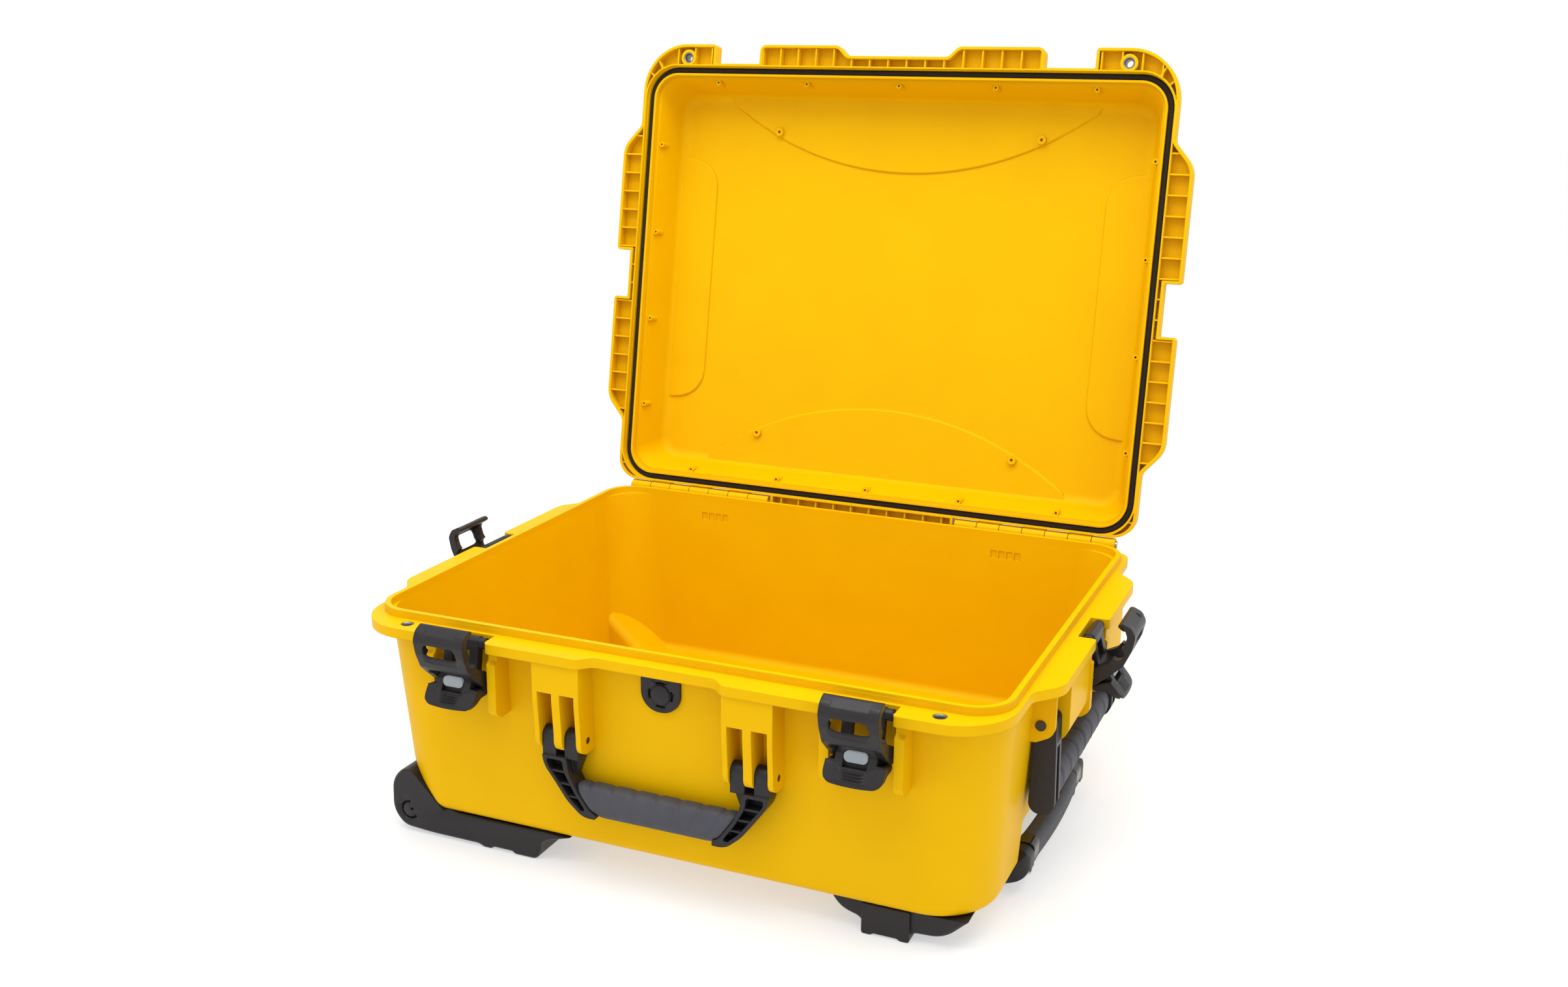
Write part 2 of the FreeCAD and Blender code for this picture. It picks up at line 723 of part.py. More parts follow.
def lid_ribs():
    """Thin ribs that stay in the hollow lid flange."""
    z0, z1 = PART_Z + PART_GAP + 1.2, LEDGE_Z
    found = []
    reach = FL_FRONT + 2
    count = int((RIDGE_X - 6) / RIB_PITCH)
    for i in range(-count, count + 1):
        x = (i + 0.5) * RIB_PITCH
        found.append(box(x - RIB_T / 2, x + RIB_T / 2, -(RIDGE_Y + reach), -RIDGE_Y, z0, z1))
        if abs(x) < LIP_HALF - LID_SKIRT:
            found.append(box(x - RIB_T / 2, x + RIB_T / 2, RIDGE_Y, RIDGE_Y + LIP_OUT, z0, z1))
    count = int((RIDGE_Y - 4) / RIB_PITCH)
    for i in range(-count, count + 1):
        y = (i + 0.5) * RIB_PITCH
        found.append(box(-(RIDGE_X + FL_BUMP + 2), -RIDGE_X, y - RIB_T / 2, y + RIB_T / 2, z0, z1))
        found.append(box(RIDGE_X, RIDGE_X + FL_BUMP + 2, y - RIB_T / 2, y + RIB_T / 2, z0, z1))
    cx, cy = RIDGE_X - RIDGE_R, -(RIDGE_Y - RIDGE_R)
    for angle in (20, 40, 60):
        rib = box(RIDGE_R, RIDGE_R + 40, -RIB_T / 2, RIB_T / 2, z0, z1)
        rib.rotate(V(0, 0, 0), AZ, -angle)
        rib.translate(V(cx, cy, 0))
        found += [rib, mirror(rib, AX)]
    return found


def lid_pads():
    """Shallow panels moulded on the inside of the lid's top."""
    z0, z1 = LID_TOP - LID_WALL - PAD_T, LID_TOP - LID_WALL + 1
    front, side = RIDGE_Y - LID_IN - LID_TAPER - 2, RIDGE_X - LID_IN - LID_TAPER - 2
    found = []
    for s in (-1, 1):
        dip, half = front - 82, 218.0
        ends = (V(-half, s * front, z0), V(-half * 0.97, s * (front - 12), z0), V(0, s * dip, z0),
                V(half * 0.97, s * (front - 12), z0), V(half, s * front, z0))
        arc = Part.Arc(ends[1], ends[2], ends[3]).toShape()
        left = Part.LineSegment(ends[0], ends[1]).toShape()
        right = Part.LineSegment(ends[3], ends[4]).toShape()
        close = Part.LineSegment(ends[4], ends[0]).toShape()
        face = Part.Face(Part.Wire([left, arc, right, close]))
        found.append(soft(face.extrude(V(0, 0, z1 - z0)), z0))
        panel = [(s * side, -142, 2), (s * (side - 48), -136, 34), (s * (side - 48), 136, 34),
            (s * side, 142, 2)]
        found.append(soft(prism(panel, z0, z1), z0))
    return found


def soft(solid, z):
    """Round the edges of a panel at one level."""
    return solid.makeFillet(PAD_T * 0.9, level_edges(solid, z))


def lid_bosses():
    """Screw bosses on the top and posts for a bezel along the walls."""
    ceiling = LID_TOP - LID_WALL
    found = []
    for x in (-BOSS_X, BOSS_X):
        for y in (-BOSS_Y, BOSS_Y):
            found.append(rod(V(x, y, ceiling - BOSS_H), AZ, BOSS_R, BOSS_H + 1))
    top = PART_Z + RIDGE_H + GASKET_H + 2
    wall_in = LID_IN + LID_WALL
    for x in (-216, -108, 0, 108, 216):
        for y in (-(RIDGE_Y - wall_in - 3), RIDGE_Y - wall_in - 3):
            found.append(rod(V(x, y, top), AZ, 3.2, 14))
    for y in (-150, -50, 50, 150):
        for x in (-(RIDGE_X - wall_in - 3), RIDGE_X - wall_in - 3):
            found.append(rod(V(x, y, top), AZ, 3.2, 14))
    return found


def boss_holes():
    ceiling = LID_TOP - LID_WALL
    found = []
    for x in (-BOSS_X, BOSS_X):
        for y in (-BOSS_Y, BOSS_Y):
            found.append(rod(V(x, y, ceiling - BOSS_H - 1), AZ, 1.6, BOSS_H))
    top = PART_Z + RIDGE_H + GASKET_H + 2
    wall_in = LID_IN + LID_WALL
    for x in (-216, -108, 0, 108, 216):
        for y in (-(RIDGE_Y - wall_in - 3), RIDGE_Y - wall_in - 3):
            found.append(rod(V(x, y, top - 1), AZ, 1.2, 8))
    for y in (-150, -50, 50, 150):
        for x in (-(RIDGE_X - wall_in - 3), RIDGE_X - wall_in - 3):
            found.append(rod(V(x, y, top - 1), AZ, 1.2, 8))
    return found


def lid_knuckles():
    found = []
    for i, (a, b) in enumerate(knuckle_spans()):
        if i % 2 == 0:
            continue
        a, b = a + KNUCKLE_GAP, b - KNUCKLE_GAP
        barrel = rod(V(a, HINGE_Y, HINGE_Z), AX, KNUCKLE_R, b - a)
        web = box(a, b, RIDGE_Y + FL_REAR - 2, HINGE_Y, HINGE_Z - 2, HINGE_Z + KNUCKLE_R)
        lug = fuse([barrel, web])
        found += [lug, mirror(lug, AX)]
    return found


def rear_lip(s, z0, z1):
    """Lip of the lid flange between the two hinge groups, drawn in by s."""
    half, out = LIP_HALF - s, RIDGE_Y + LIP_OUT - s
    return prism([(-half, RIDGE_Y), (half, RIDGE_Y), (half, out, 6), (-half, out, 6)], z0, z1)


def lid_shell():
    """Drawn closed, with the rim down."""
    low = PART_Z + PART_GAP
    flange = prism(outline(), low, LEDGE_Z).fuse(rear_lip(0, low, LEDGE_Z))
    keep = block(RIDGE_X + GASKET_W / 2 + GROOVE_GAP + GROOVE_WALL,
                 RIDGE_Y + GASKET_W / 2 + GROOVE_GAP + GROOVE_WALL,
                 RIDGE_R + GASKET_W / 2 + GROOVE_GAP + GROOVE_WALL, low, LEDGE_Z)
    bosses = [rod(V(x, EYE_Y, low), AZ, EYE_R + EYE_BOSS, LID_FL_H - PART_GAP) for x in (-EYE_X, EYE_X)]
    hollow = prism(outline(LID_SKIRT), low, LEDGE_Z - LID_DECK)
    hollow = hollow.fuse(rear_lip(LID_SKIRT, low, LEDGE_Z - LID_DECK))
    hollow = hollow.cut([keep] + bosses + lid_ribs())
    flange = flange.cut(hollow)
    body = fuse([flange, lid_outer(0)] + lid_knuckles())
    inside = lid_outer(-LID_WALL)
    inside = inside.cut(lid_pads() + lid_bosses())
    groove_top = GASKET_Z + GASKET_H
    mouth_half = -GASKET_W / 2 - GROOVE_GAP - GROOVE_WALL
    mouth = block(RIDGE_X + mouth_half, RIDGE_Y + mouth_half, RIDGE_R + mouth_half, low - 1,
        groove_top + 0.2)
    lip_top = PART_Z + STEP_H + 1.2
    room = RIDGE_W / 2 + STEP_OUT + STEP_ROOM
    step = block(RIDGE_X + room, RIDGE_Y + room, RIDGE_R + room, low - 1, lip_top)
    groove = band(GASKET_W / 2 + GROOVE_GAP, low - 1, groove_top, -GASKET_W / 2 - GROOVE_GAP)
    tools = [inside, mouth, step, groove] + boss_holes()
    for x in (-EYE_X, EYE_X):
        tools.append(rod(V(x, EYE_Y, low - 1), AZ, EYE_R, LID_FL_H + 2))
    span = HINGE_LEN + 2 * PIN_HEAD_T + 4
    for x in (HINGE_START - 2, -HINGE_START + 2 - span):
        tools.append(rod(V(x, HINGE_Y, HINGE_Z), AX, HINGE_PIN_R + HINGE_RUN, span))
    for i, (a, b) in enumerate(knuckle_spans()):
        if i % 2:
            continue
        room = rod(V(a - KNUCKLE_GAP, HINGE_Y, HINGE_Z), AX, KNUCKLE_R + KNUCKLE_CUT,
            b - a + 2 * KNUCKLE_GAP)
        tools += [room, mirror(room, AX)]
    return cut(body, tools)


def lid_gasket():
    return band(GASKET_W / 2, GASKET_Z, GASKET_Z + GASKET_H, -GASKET_W / 2)


def open_lid(shape):
    shape = shape.copy()
    shape.rotate(V(0, HINGE_Y, HINGE_Z), AX, -LID_OPEN)
    return shape


def eyelet(x, z0, z1):
    """Rolled steel eyelet with a rim at each end."""
    body = rod(V(x, EYE_Y, z0), AZ, EYE_R, z1 - z0)
    low = rod(V(x, EYE_Y, z0 - EYE_RIM_T), AZ, EYE_R + EYE_RIM, EYE_RIM_T)
    parts = [body, low]
    bore = rod(V(x, EYE_Y, z0 - 2), AZ, EYE_BORE, z1 - z0 + 4)
    return fuse(parts).cut(bore)


def hinge_pins():
    start = HINGE_START - 1
    shank = rod(V(start, HINGE_Y, HINGE_Z), AX, HINGE_PIN_R, HINGE_LEN + 1)
    head = rod(V(HINGE_START + HINGE_LEN - KNUCKLE_GAP, HINGE_Y, HINGE_Z), AX, HINGE_PIN_R + PIN_HEAD,
        PIN_HEAD_T)
    pin = fuse([shank, head])
    return [pin, mirror(pin, AX)]


def lever_profile():
    """Front block and tab of the lever, seen along X."""
    t = LEVER_T / 2
    face = -t - LEVER_FACE
    top = tab_top()
    return [
        (t, -PIN_LOW + 9), (-t, -PIN_LOW + 9, 2), (face, -PIN_LOW - 1, 4), (face - 1.5, top, 10),
        (-t - TAB_FLARE, -LEVER_L + 2, 1.5), (-t - TAB_FLARE + 3, -LEVER_L - 1, 1.5),
        (-t - 3, top - 8, 12), (t, top - 6, 3),
    ]


def tab_top():
    """Where the wide tab of the lever starts."""
    return -PIN_LOW - TAB_DOWN


def lever():
    """Drawn closed: pivot at the origin, tab down, outside towards -Y."""
    t = LEVER_T / 2
    top = tab_top()
    barrel = rod(V(-NECK_HALF, 0, 0), AX, BARREL_R, 2 * NECK_HALF)
    ends = rod(V(-BARREL_HALF, 0, 0), AX, BARREL_END_R, 2 * BARREL_HALF)
    neck = prism_x([(-t, 0), (t, 0), (t, top - 6, 3), (-t, top - 6, 3)], -NECK_HALF, NECK_HALF)
    hub = rod(V(-NECK_HALF, PIN_IN, -PIN_LOW), AX, BARREL_R - 1.5, 2 * NECK_HALF)
    front = prism_x(lever_profile(), -NECK_HALF, NECK_HALF)
    trim = [(-TAB_HALF, top, 3), (TAB_HALF, top, 3), (TAB_HALF, -LEVER_L - 2, 9),
        (-TAB_HALF, -LEVER_L - 2, 9)]
    blade = prism_x(lever_profile(), -TAB_HALF, TAB_HALF).common(prism_y(trim, -40, 40))
    blade = blade.cut(rod(V(-40, PIN_IN, -PIN_LOW), AX, CLAW_DISC + DISC_ROOM, 80))
    corners = [(-NECK_HALF, 20), (NECK_HALF, 20), (NECK_HALF, -LEVER_L - 2, 9),
        (-NECK_HALF, -LEVER_L - 2, 9)]
    front = front.common(prism_y(corners, -40, 40))
    back = slider_face() + SLIDER_T + SLIDE_GAP
    room = box(-SLIDER_HALF - SLIDE_GAP, SLIDER_HALF + SLIDE_GAP, -40, back,
               slider_low() - SLIDER_TRAVEL - SLIDE_GAP, slider_low() + SLIDER_L + SLIDE_GAP)
    slot = box(-9, 9, -20, 20, -PIN_LOW + 10, -BARREL_R - 1.5)
    holes = [rod(V(-40, 0, 0), AX, LATCH_PIN_R + LATCH_RUN, 80),
        rod(V(-40, PIN_IN, -PIN_LOW), AX, LATCH_PIN_R, 80)]
    ribs = []
    slope = (TAB_FLARE - LEVER_FACE - 1.5) / (LEVER_L - 2 + top)
    for i in range(TAB_RIBS):
        z = slider_low() - SLIDER_TRAVEL - 2.2 - i * 2.6
        y = -t - LEVER_FACE - 1.5 - (top - z) * slope
        ribs.append(box(-9 + i, 9 - i, y - 0.9, y + 2, z - 0.6, z + 0.6))
    return cut(fuse([barrel, ends, neck, hub, front, blade] + ribs), [room, slot] + holes)


def slider_low():
    """Lower end of the lock slider on the closed lever, at rest."""
    return -PIN_LOW - 7.0


def slider_face():
    """Outer face of the lock slider on the closed lever."""
    return -LEVER_T / 2 - LEVER_FACE - 1.6


def slider():
    z = slider_low()
    r = 0.45 * SLIDER_L
    shape = [
        (-SLIDER_HALF, z, r), (SLIDER_HALF, z, r), (SLIDER_HALF, z + SLIDER_L, r),
        (-SLIDER_HALF, z + SLIDER_L, r),
    ]
    return prism_y(shape, slider_face(), slider_face() + SLIDER_T)


def claw():
    """Drawn closed, with the claw pin at the origin; the hook points at the case."""
    tip = HOOK_V
    top = HOOK_V + HOOK_T
    out = -CLAW_OUT
    outside = [
        (out, PLATE_LOW + 3, 10), (out + 3.5, tip - 9, 25), (out + 9, top - 4, 9), (4, top, 8),
        (HOOK_REACH - 2, top - 2, 4), (HOOK_REACH, tip + 2, 2), (HOOK_REACH - 1.5, tip, 1),
        (HOOK_REACH - 7, tip, 1), (HOOK_REACH - 8.5, tip + 1.5, 1.5),
    ]
    front = outside + [
        (out + 8 + CLAW_PLATE, top - 6, 3), (out + 3.5 + CLAW_PLATE, tip - 9, 20),
        (out + CLAW_PLATE, PLATE_LOW + 2, 4),
        (out + CLAW_PLATE, PLATE_LOW, 1), (out, PLATE_LOW, 1),
    ]
    side = outside + [
        (CLAW_IN + 3, tip - 2, 5), (CLAW_IN, tip - 10, 8), (CLAW_IN, 20, 6), (3, 11, 4),
        (CLAW_DISC - 1, 3, 2),
        (0, -2), (-CLAW_DISC, 0, 1), (out + 2, PLATE_LOW - 9, 8),
    ]
    inner = NECK_HALF + CLAW_GAP
    solids = [prism_x(front, -inner - 1, inner + 1)]
    for a, b in ((-CLAW_HALF, -inner), (inner, CLAW_HALF)):
        solids.append(rod(V(a, 0, 0), AX, CLAW_DISC, b - a))
        solids.append(prism_x(side, a, b))
    low, high = WINDOW_LOW, WINDOW_LOW + WINDOW_H
    window = [(-WINDOW_HALF, low, 4), (WINDOW_HALF, low, 4), (WINDOW_HALF, high, 4),
        (-WINDOW_HALF, high, 4)]
    dip = box(-CLAW_HALF + 9, CLAW_HALF - 9, -3, HOOK_REACH + 2, top - 1.2, top + 3)
    room = BARREL_END_R + 0.6
    saddle = [rod(V(-40, -PIN_IN, PIN_LOW), AX, room, 80),
        box(-40, 40, -PIN_IN, 20, PIN_LOW - room, PIN_LOW + room)]
    tools = [prism_y(window, -40, 2), dip, rod(V(-40, 0, 0), AX, LATCH_PIN_R + LATCH_RUN, 80)]
    return cut(fuse(solids), tools + saddle)


def rest_lever(shape, opened):
    shape = shape.copy()
    shape.rotate(V(0, 0, 0), AX, -opened)
    return shape


def rest_claw(shape, opened, lean):
    shape = shape.copy()
    shape.rotate(V(0, 0, 0), AX, opened + lean)
    shape.translate(V(0, PIN_IN, -PIN_LOW))
    return rest_lever(shape, opened)


def lever_pin():
    half = NOTCH_HALF + CHEEK_GAP + CHEEK_T - 2
    return rod(V(-half, 0, 0), AX, LATCH_PIN_R, 2 * half)


def claw_pin():
    half = CLAW_HALF - 0.5
    return rod(V(-half, PIN_IN, -PIN_LOW), AX, LATCH_PIN_R, 2 * half)


def arm_inside():
    """Inner edge of a front handle arm beside the grip, from its low end up."""
    low = handle_pin()[1] - H_DROP
    outer = HANDLE_X + H_RIB + H_SLOT - H_EYE_GAP
    return [
        (GRIP_HALF, low), (GRIP_HALF, low + 4), (GRIP_HALF + 6, low + 7.5), (outer - 35, low + 22),
        (outer - 26, low + 38),
    ]


def handle_arm(side):
    """Arm of the front handle below its fork: a hollow crescent and a web to the inner eye."""
    py, pz = handle_pin()
    low = pz - H_DROP
    outer = HANDLE_X + H_RIB + H_SLOT - H_EYE_GAP
    inner = HANDLE_X - H_RIB - H_SLOT + H_EYE_GAP
    root = pz - H_END_R - 4
    near, far = py - H_EYE_R - 1.5, py + H_EYE_R
    rim = [
        (outer, root), (outer - 1, root - 9, 25), (outer - 11, low + 31, 60),
        (outer - 24, low + 13, 40),
        (outer - 39, low, 18),
    ]
    edge = [(x, z, r) for (x, z), r in zip(arm_inside(), (1, 1, 10, 30, 30))]
    crescent = rim + edge + [(outer - 24, root, 3)]
    web = [(inner, root), (outer - 14, root), (outer - 20, low + 28, 4), (outer - 28, low + 34, 4)]
    hollow = [
        (outer - 4, root - 3, 3), (outer - 5, root - 9, 20), (outer - 15, low + 31, 50),
        (outer - 27, low + 15, 30),
        (outer - 38, low + 5, 8), (GRIP_HALF + 10, low + 7, 4), (outer - 31, low + 22, 25),
        (outer - 21, low + 40, 25),
        (outer - 20, root - 3, 3),
    ]
    shapes = []
    for points in (crescent, web, hollow):
        shapes.append([(side * p[0],) + tuple(p[1:]) for p in points])
    solid = prism_y(shapes[0], near, far).fuse(prism_y(shapes[1], py - 1, far))
    cavity = prism_y(shapes[2], near - 1, py + 2)
    ribs = [box(-200, 200, near + 1, far, z - 0.9, z + 0.9) for z in (low + 17, low + 28, low + 39)]
    return solid.cut(cavity.cut(ribs))


def front_handle():
    py, pz = handle_pin()
    mid = pz - H_DROP + GRIP_H / 2
    root = pz - H_END_R - 4
    solids = []
    for side in (-1, 1):
        for edge in (-1, 1):
            a = side * HANDLE_X + edge * (H_RIB + H_EYE_GAP)
            b = side * HANDLE_X + edge * (H_RIB + H_SLOT - H_EYE_GAP)
            a, b = min(a, b), max(a, b)
            solids.append(rod(V(a, py, pz), AX, H_EYE_R, b - a))
            solids.append(box(a, b, py - H_EYE_R, py + H_EYE_R, root - 1, pz))
        solids.append(handle_arm(side))
    core = rod(V(-GRIP_HALF - 16, py, mid), AX, CORE_R, 2 * GRIP_HALF + 32)
    holes = [rod(V(-200, py, pz), AX, H_PIN_R + H_RUN, 400)]
    reach = HANDLE_X
    grip = oval(GRIP_T, GRIP_H, py, mid)
    grip = Part.Face(path(grip, lambda p: V(-reach, p.x, p.y))).extrude(V(2 * reach, 0, 0))
    right = [(x - GRIP_ROOM, z) for x, z in arm_inside()]
    ends = right + [(-x, z) for x, z in reversed(right)]
    grip = grip.common(prism_y(ends, py - GRIP_T, py + GRIP_T))
    grip = grip.cut(rod(V(-reach, py, mid), AX, CORE_R, 2 * reach))
    return cut(fuse(solids + [core]), holes), grip


def oval(t, h, u, v):
    r = 0.46 * min(t, h)
    return [(u - t / 2, v - h / 2, r), (u + t / 2, v - h / 2, r), (u + t / 2, v + h / 2, r),
        (u - t / 2, v + h / 2, r)]


def side_handle():
    px, pz = side_pin()
    low = pz - S_DROP
    mid = low + S_GRIP_H / 2 + 1
    inner, outer = px - S_EYE_R - 0.5, px + S_ARM_OUT
    back = wall_x(low) + 2.2
    solids = []
    profile = [
        (px - S_EYE_R, pz + 0.5, S_EYE_R - 0.8), (px - S_EYE_R, pz + S_EYE_R, S_EYE_R - 0.8),
        (outer - 1, pz + S_EYE_R, S_EYE_R - 0.8), (outer + 1, low + 10, 12), (outer - 4, low, 8),
        (inner - 2, low, 10),
        (inner - 1, low + 30, 20),
    ]
    for side in (-1, 1):
        a, b = sorted((side * S_ARM_IN, side * (S_ARM_IN + S_ARM_W)))
        arm = prism_y(profile, a, b)
        mid_y = 0.5 * (a + b)
        tools = [box(outer - 6, outer + 6, mid_y - 4.5, mid_y + 4.5, low + 9, pz - 22)]
        for i in range(3):
            y = mid_y + (i - 1) * 4.6
            tools.append(box(outer - 5, outer + 6, y - 1.4, y + 1.4, pz - 18, pz + S_EYE_R + 1))
        solids.append(arm.cut(tools))
    core = rod(V(px, -S_ARM_IN - 3, mid), AY, CORE_R, 2 * S_ARM_IN + 6)
    frame = fuse(solids + [core])
    frame = frame.cut(rod(V(px, -200, pz), AY, H_PIN_R + H_RUN, 400))
    shape = oval(S_GRIP_T, S_GRIP_H, px, mid)
    grip = prism_y(shape, -S_ARM_IN, S_ARM_IN)
    grooves = [rod(V(px, -S_ARM_IN, mid), AY, CORE_R, 2 * S_ARM_IN)]
    for i in range(7):
        y = (i - 3) * 20.0
        ring = prism_y(oval(S_GRIP_T + 8, S_GRIP_H + 8, px, mid), y - 0.8, y + 0.8)
        ring = ring.cut(prism_y(oval(S_GRIP_T - 2, S_GRIP_H - 2, px, mid), y - 1, y + 1))
        grooves.append(ring.common(box(px - 3, px + 60, y - 2, y + 2, mid - 6, mid + 60)))
    return frame, cut(grip, grooves)


def handle_pins():
    py, pz = handle_pin()
    half = H_RIB + H_SLOT + H_CHEEK
    pins = [rod(V(x - half, py, pz), AX, H_PIN_R, 2 * half) for x in (-HANDLE_X, HANDLE_X)]
    px, pz = side_pin()
    inner, outer = S_ARM_IN - S_GAP - 6, S_ARM_IN + S_ARM_W + S_GAP + S_CHEEK
    pin = fuse([rod(V(px, inner, pz), AY, H_PIN_R, outer - inner),
        rod(V(px, outer, pz), AY, H_PIN_R + 1.6, 1.6)])
    return pins + [pin, mirror(pin, AY)]


def wheel_housing():
    """Front housing with its foot; the rear one is its mirror image."""
    near, far = house_y()
    well = well_shape(0)
    low_x = well[1][0]
    slope = (well[3][1] - well[2][1]) / (well[2][0] - well[3][0])
    top_x = AXLE_X + 6
    top_z = FOOT_H + 2 + (low_x - top_x) * slope
    foot0 = -(RIDGE_X - FOOT_IN) - FOOT_L / 2
    foot1 = foot0 + FOOT_L
    profile = [
        (foot1 + FOOT_WEDGE, FOOT_H), (low_x, FOOT_H), (low_x - 0.4, FOOT_H + 1.5, 3),
        (top_x - 0.4, top_z, 4),
        (AXLE_X - 5, top_z + 4, 12), (AXLE_X - 19, top_z - 11, 16), (AXLE_X - 20, AXLE_Z - 4, 14),
        (AXLE_X - 8, NOSE_UP + 2, 14), (AXLE_X + 24, NOSE_UP, 14), (foot0 - 4, NOSE_UP, 2),
        (foot0, 0, 1), (foot1, 0, 4), (foot1 + 5, FOOT_H - 9, 8),
    ]
    body = prism_y(profile, near, far)
    a, b = near + PLATE_T, near + PLATE_T + WHEEL_W + 2 * WHEEL_GAP
    room = WHEEL_R + WHEEL_GAP + 1
    tools = [
        rod(V(AXLE_X, a, AXLE_Z), AY, room, b - a),
        box(AXLE_X - 60, AXLE_X, a, b, -5, AXLE_Z + room),
        box(AXLE_X - room, AXLE_X + room, a, b, -5, AXLE_Z),
        rod(V(AXLE_X, near + 1.5, AXLE_Z), AY, AXLE_R, HOUSE_W - 3),
    ]
    ring = tube(V(AXLE_X, near, AXLE_Z), AY, 9.5, 7.2, 1.5)
    tools.append(ring.cut(box(AXLE_X + 1, AXLE_X + 20, near - 1, near + 3, AXLE_Z - 5, AXLE_Z + 20)))
    tools.append(rod(V(AXLE_X + 2.5, near, AXLE_Z + 1), AY, 1.6, 1.4))
    hollow = foot1 - 6
    tools.append(box(foot0 - 16, hollow, near + 5, far - 5, FOOT_H - 8, FOOT_H).cut(screw_posts()))
    return cut(body, tools + screw_rooms())


def screw_posts():
    return fuse([rod(V(x, y, 0), AZ, SCREW_HEAD + 3, FOOT_H) for x, y in screw_places()])


def screw_rooms():
    """Shank and head room of each screw below the base."""
    found = []
    for x, y in screw_places():
        found.append(rod(V(x, y, FOOT_H - 12), AZ, SCREW_R, 14))
        found.append(rod(V(x, y, -1), AZ, SCREW_HEAD, FOOT_H - 5 + 1))
    return found


def floor_screws():
    found = []
    for x, y in screw_places():
        shank = rod(V(x, y, FOOT_H - 5), AZ, SCREW_R, 5 + WALL - 1)
        head = rod(V(x, y, FOOT_H - 5 - SCREW_HEAD_T), AZ, SCREW_HEAD, SCREW_HEAD_T)
        drive = box(x - 2.4, x + 2.4, y - 0.6, y + 0.6, FOOT_H - 5 - SCREW_HEAD_T,
            FOOT_H - 5 - SCREW_HEAD_T + 1.2)
        found.append(fuse([shank, head]).cut(drive))
    return found


def wheel_pieces():
    near, far = house_y()
    start = near + PLATE_T + WHEEL_GAP
    hub_w = WHEEL_W - 2
    mid = start + WHEEL_W / 2
    tyre = tube(V(AXLE_X, start, AXLE_Z), AY, WHEEL_R, HUB_R, WHEEL_W)
    rims = [e for e in tyre.Edges if abs(e.BoundBox.ZMax - AXLE_Z - WHEEL_R) < 1e-3 and e.BoundBox.YLength < 1e-3]
    tyre = tyre.makeFillet(4, rims)
    hub = tube(V(AXLE_X, mid - hub_w / 2, AXLE_Z), AY, HUB_R, BUSH_R, hub_w)
    dish = tube(V(AXLE_X, mid - hub_w / 2, AXLE_Z), AY, HUB_R - 4, BUSH_R + 4, 6)
    hub = hub.cut([dish, mirror_at(dish, mid)])
    bush = tube(V(AXLE_X, start - WHEEL_GAP + 0.3, AXLE_Z), AY, BUSH_R, AXLE_R + AXLE_RUN,
        WHEEL_W + 2 * WHEEL_GAP - 0.6)
    axle = rod(V(AXLE_X, near + 1.5, AXLE_Z), AY, AXLE_R, HOUSE_W - 3)
    return tyre, hub, bush, axle


def mirror_at(shape, y):
    return shape.mirror(V(0, y, 0), AY)


def right_foot():
    x0 = RIDGE_X - RFOOT_IN
    x1 = x0 + RFOOT_L
    near = -(RIDGE_Y - RFOOT_SET)
    profile = [
        (x0 - WING_L, FOOT_H), (x0 - WING_L + 8, FOOT_H - 11, 8), (x0 - 3, 12, 6), (x0, 0, 1.5),
        (x1, 0, 1.5), (x1 + 3, 8, 5), (x1 + WING_L, FOOT_H - 19, 9), (x1 + WING_L + 20, FOOT_H),
    ]
    body = prism_y(profile, near, near + RFOOT_W)
    room = box(x0 + 4, x1 - 4, near + 4, near + RFOOT_W - 4, FOOT_H - 20, FOOT_H)
    return cut(body, [room] + screw_rooms())


def tow_pieces():
    end = RIDGE_X - TRAY_END
    start = end - TRAY_L
    channels = []
    bores = []
    outers = []
    inners = []
    for y in (-TUBE_Y, TUBE_Y):
        half = OUT_R + TRAY_WALL
        channels.append(box(start - TRAY_WALL, end, y - half, y + half, TUBE_Z - OUT_R - 2, FOOT_H))
        bores.append(rod(V(start, y, TUBE_Z), AX, OUT_R, TRAY_L + 1))
        outers.append(tube(V(start, y, TUBE_Z), AX, OUT_R, OUT_BORE, TRAY_L))
        inners.append(tube(V(start + TOW_LAP, y, TUBE_Z), AX, IN_R, IN_BORE,
            tow_in() + TOW_T - start - TOW_LAP - 4))
    plate = box(start - TRAY_WALL, end, -TUBE_Y, TUBE_Y, FOOT_H - 8, FOOT_H)
    tray = fuse(channels + [plate]).cut(bores + screw_rooms())
    return tray, outers, inners


def tow_in():
    """Inner face of the tow handle beside the wall."""
    return LOW_X - TOW_SET


def tow_core():
    x = tow_in() + 0.5 * TOW_T - 0.5 * TOW_CORE_T + 1
    return box(x, x + TOW_CORE_T, -TOW_HALF + 8, TOW_HALF - 8, TOW_SPLIT - 4, TOW_TOP - 9)


def band_span():
    """Inner and outer ends of a gloss band."""
    start = TOW_GRIP + 0.4
    return start, start + TOW_BAND


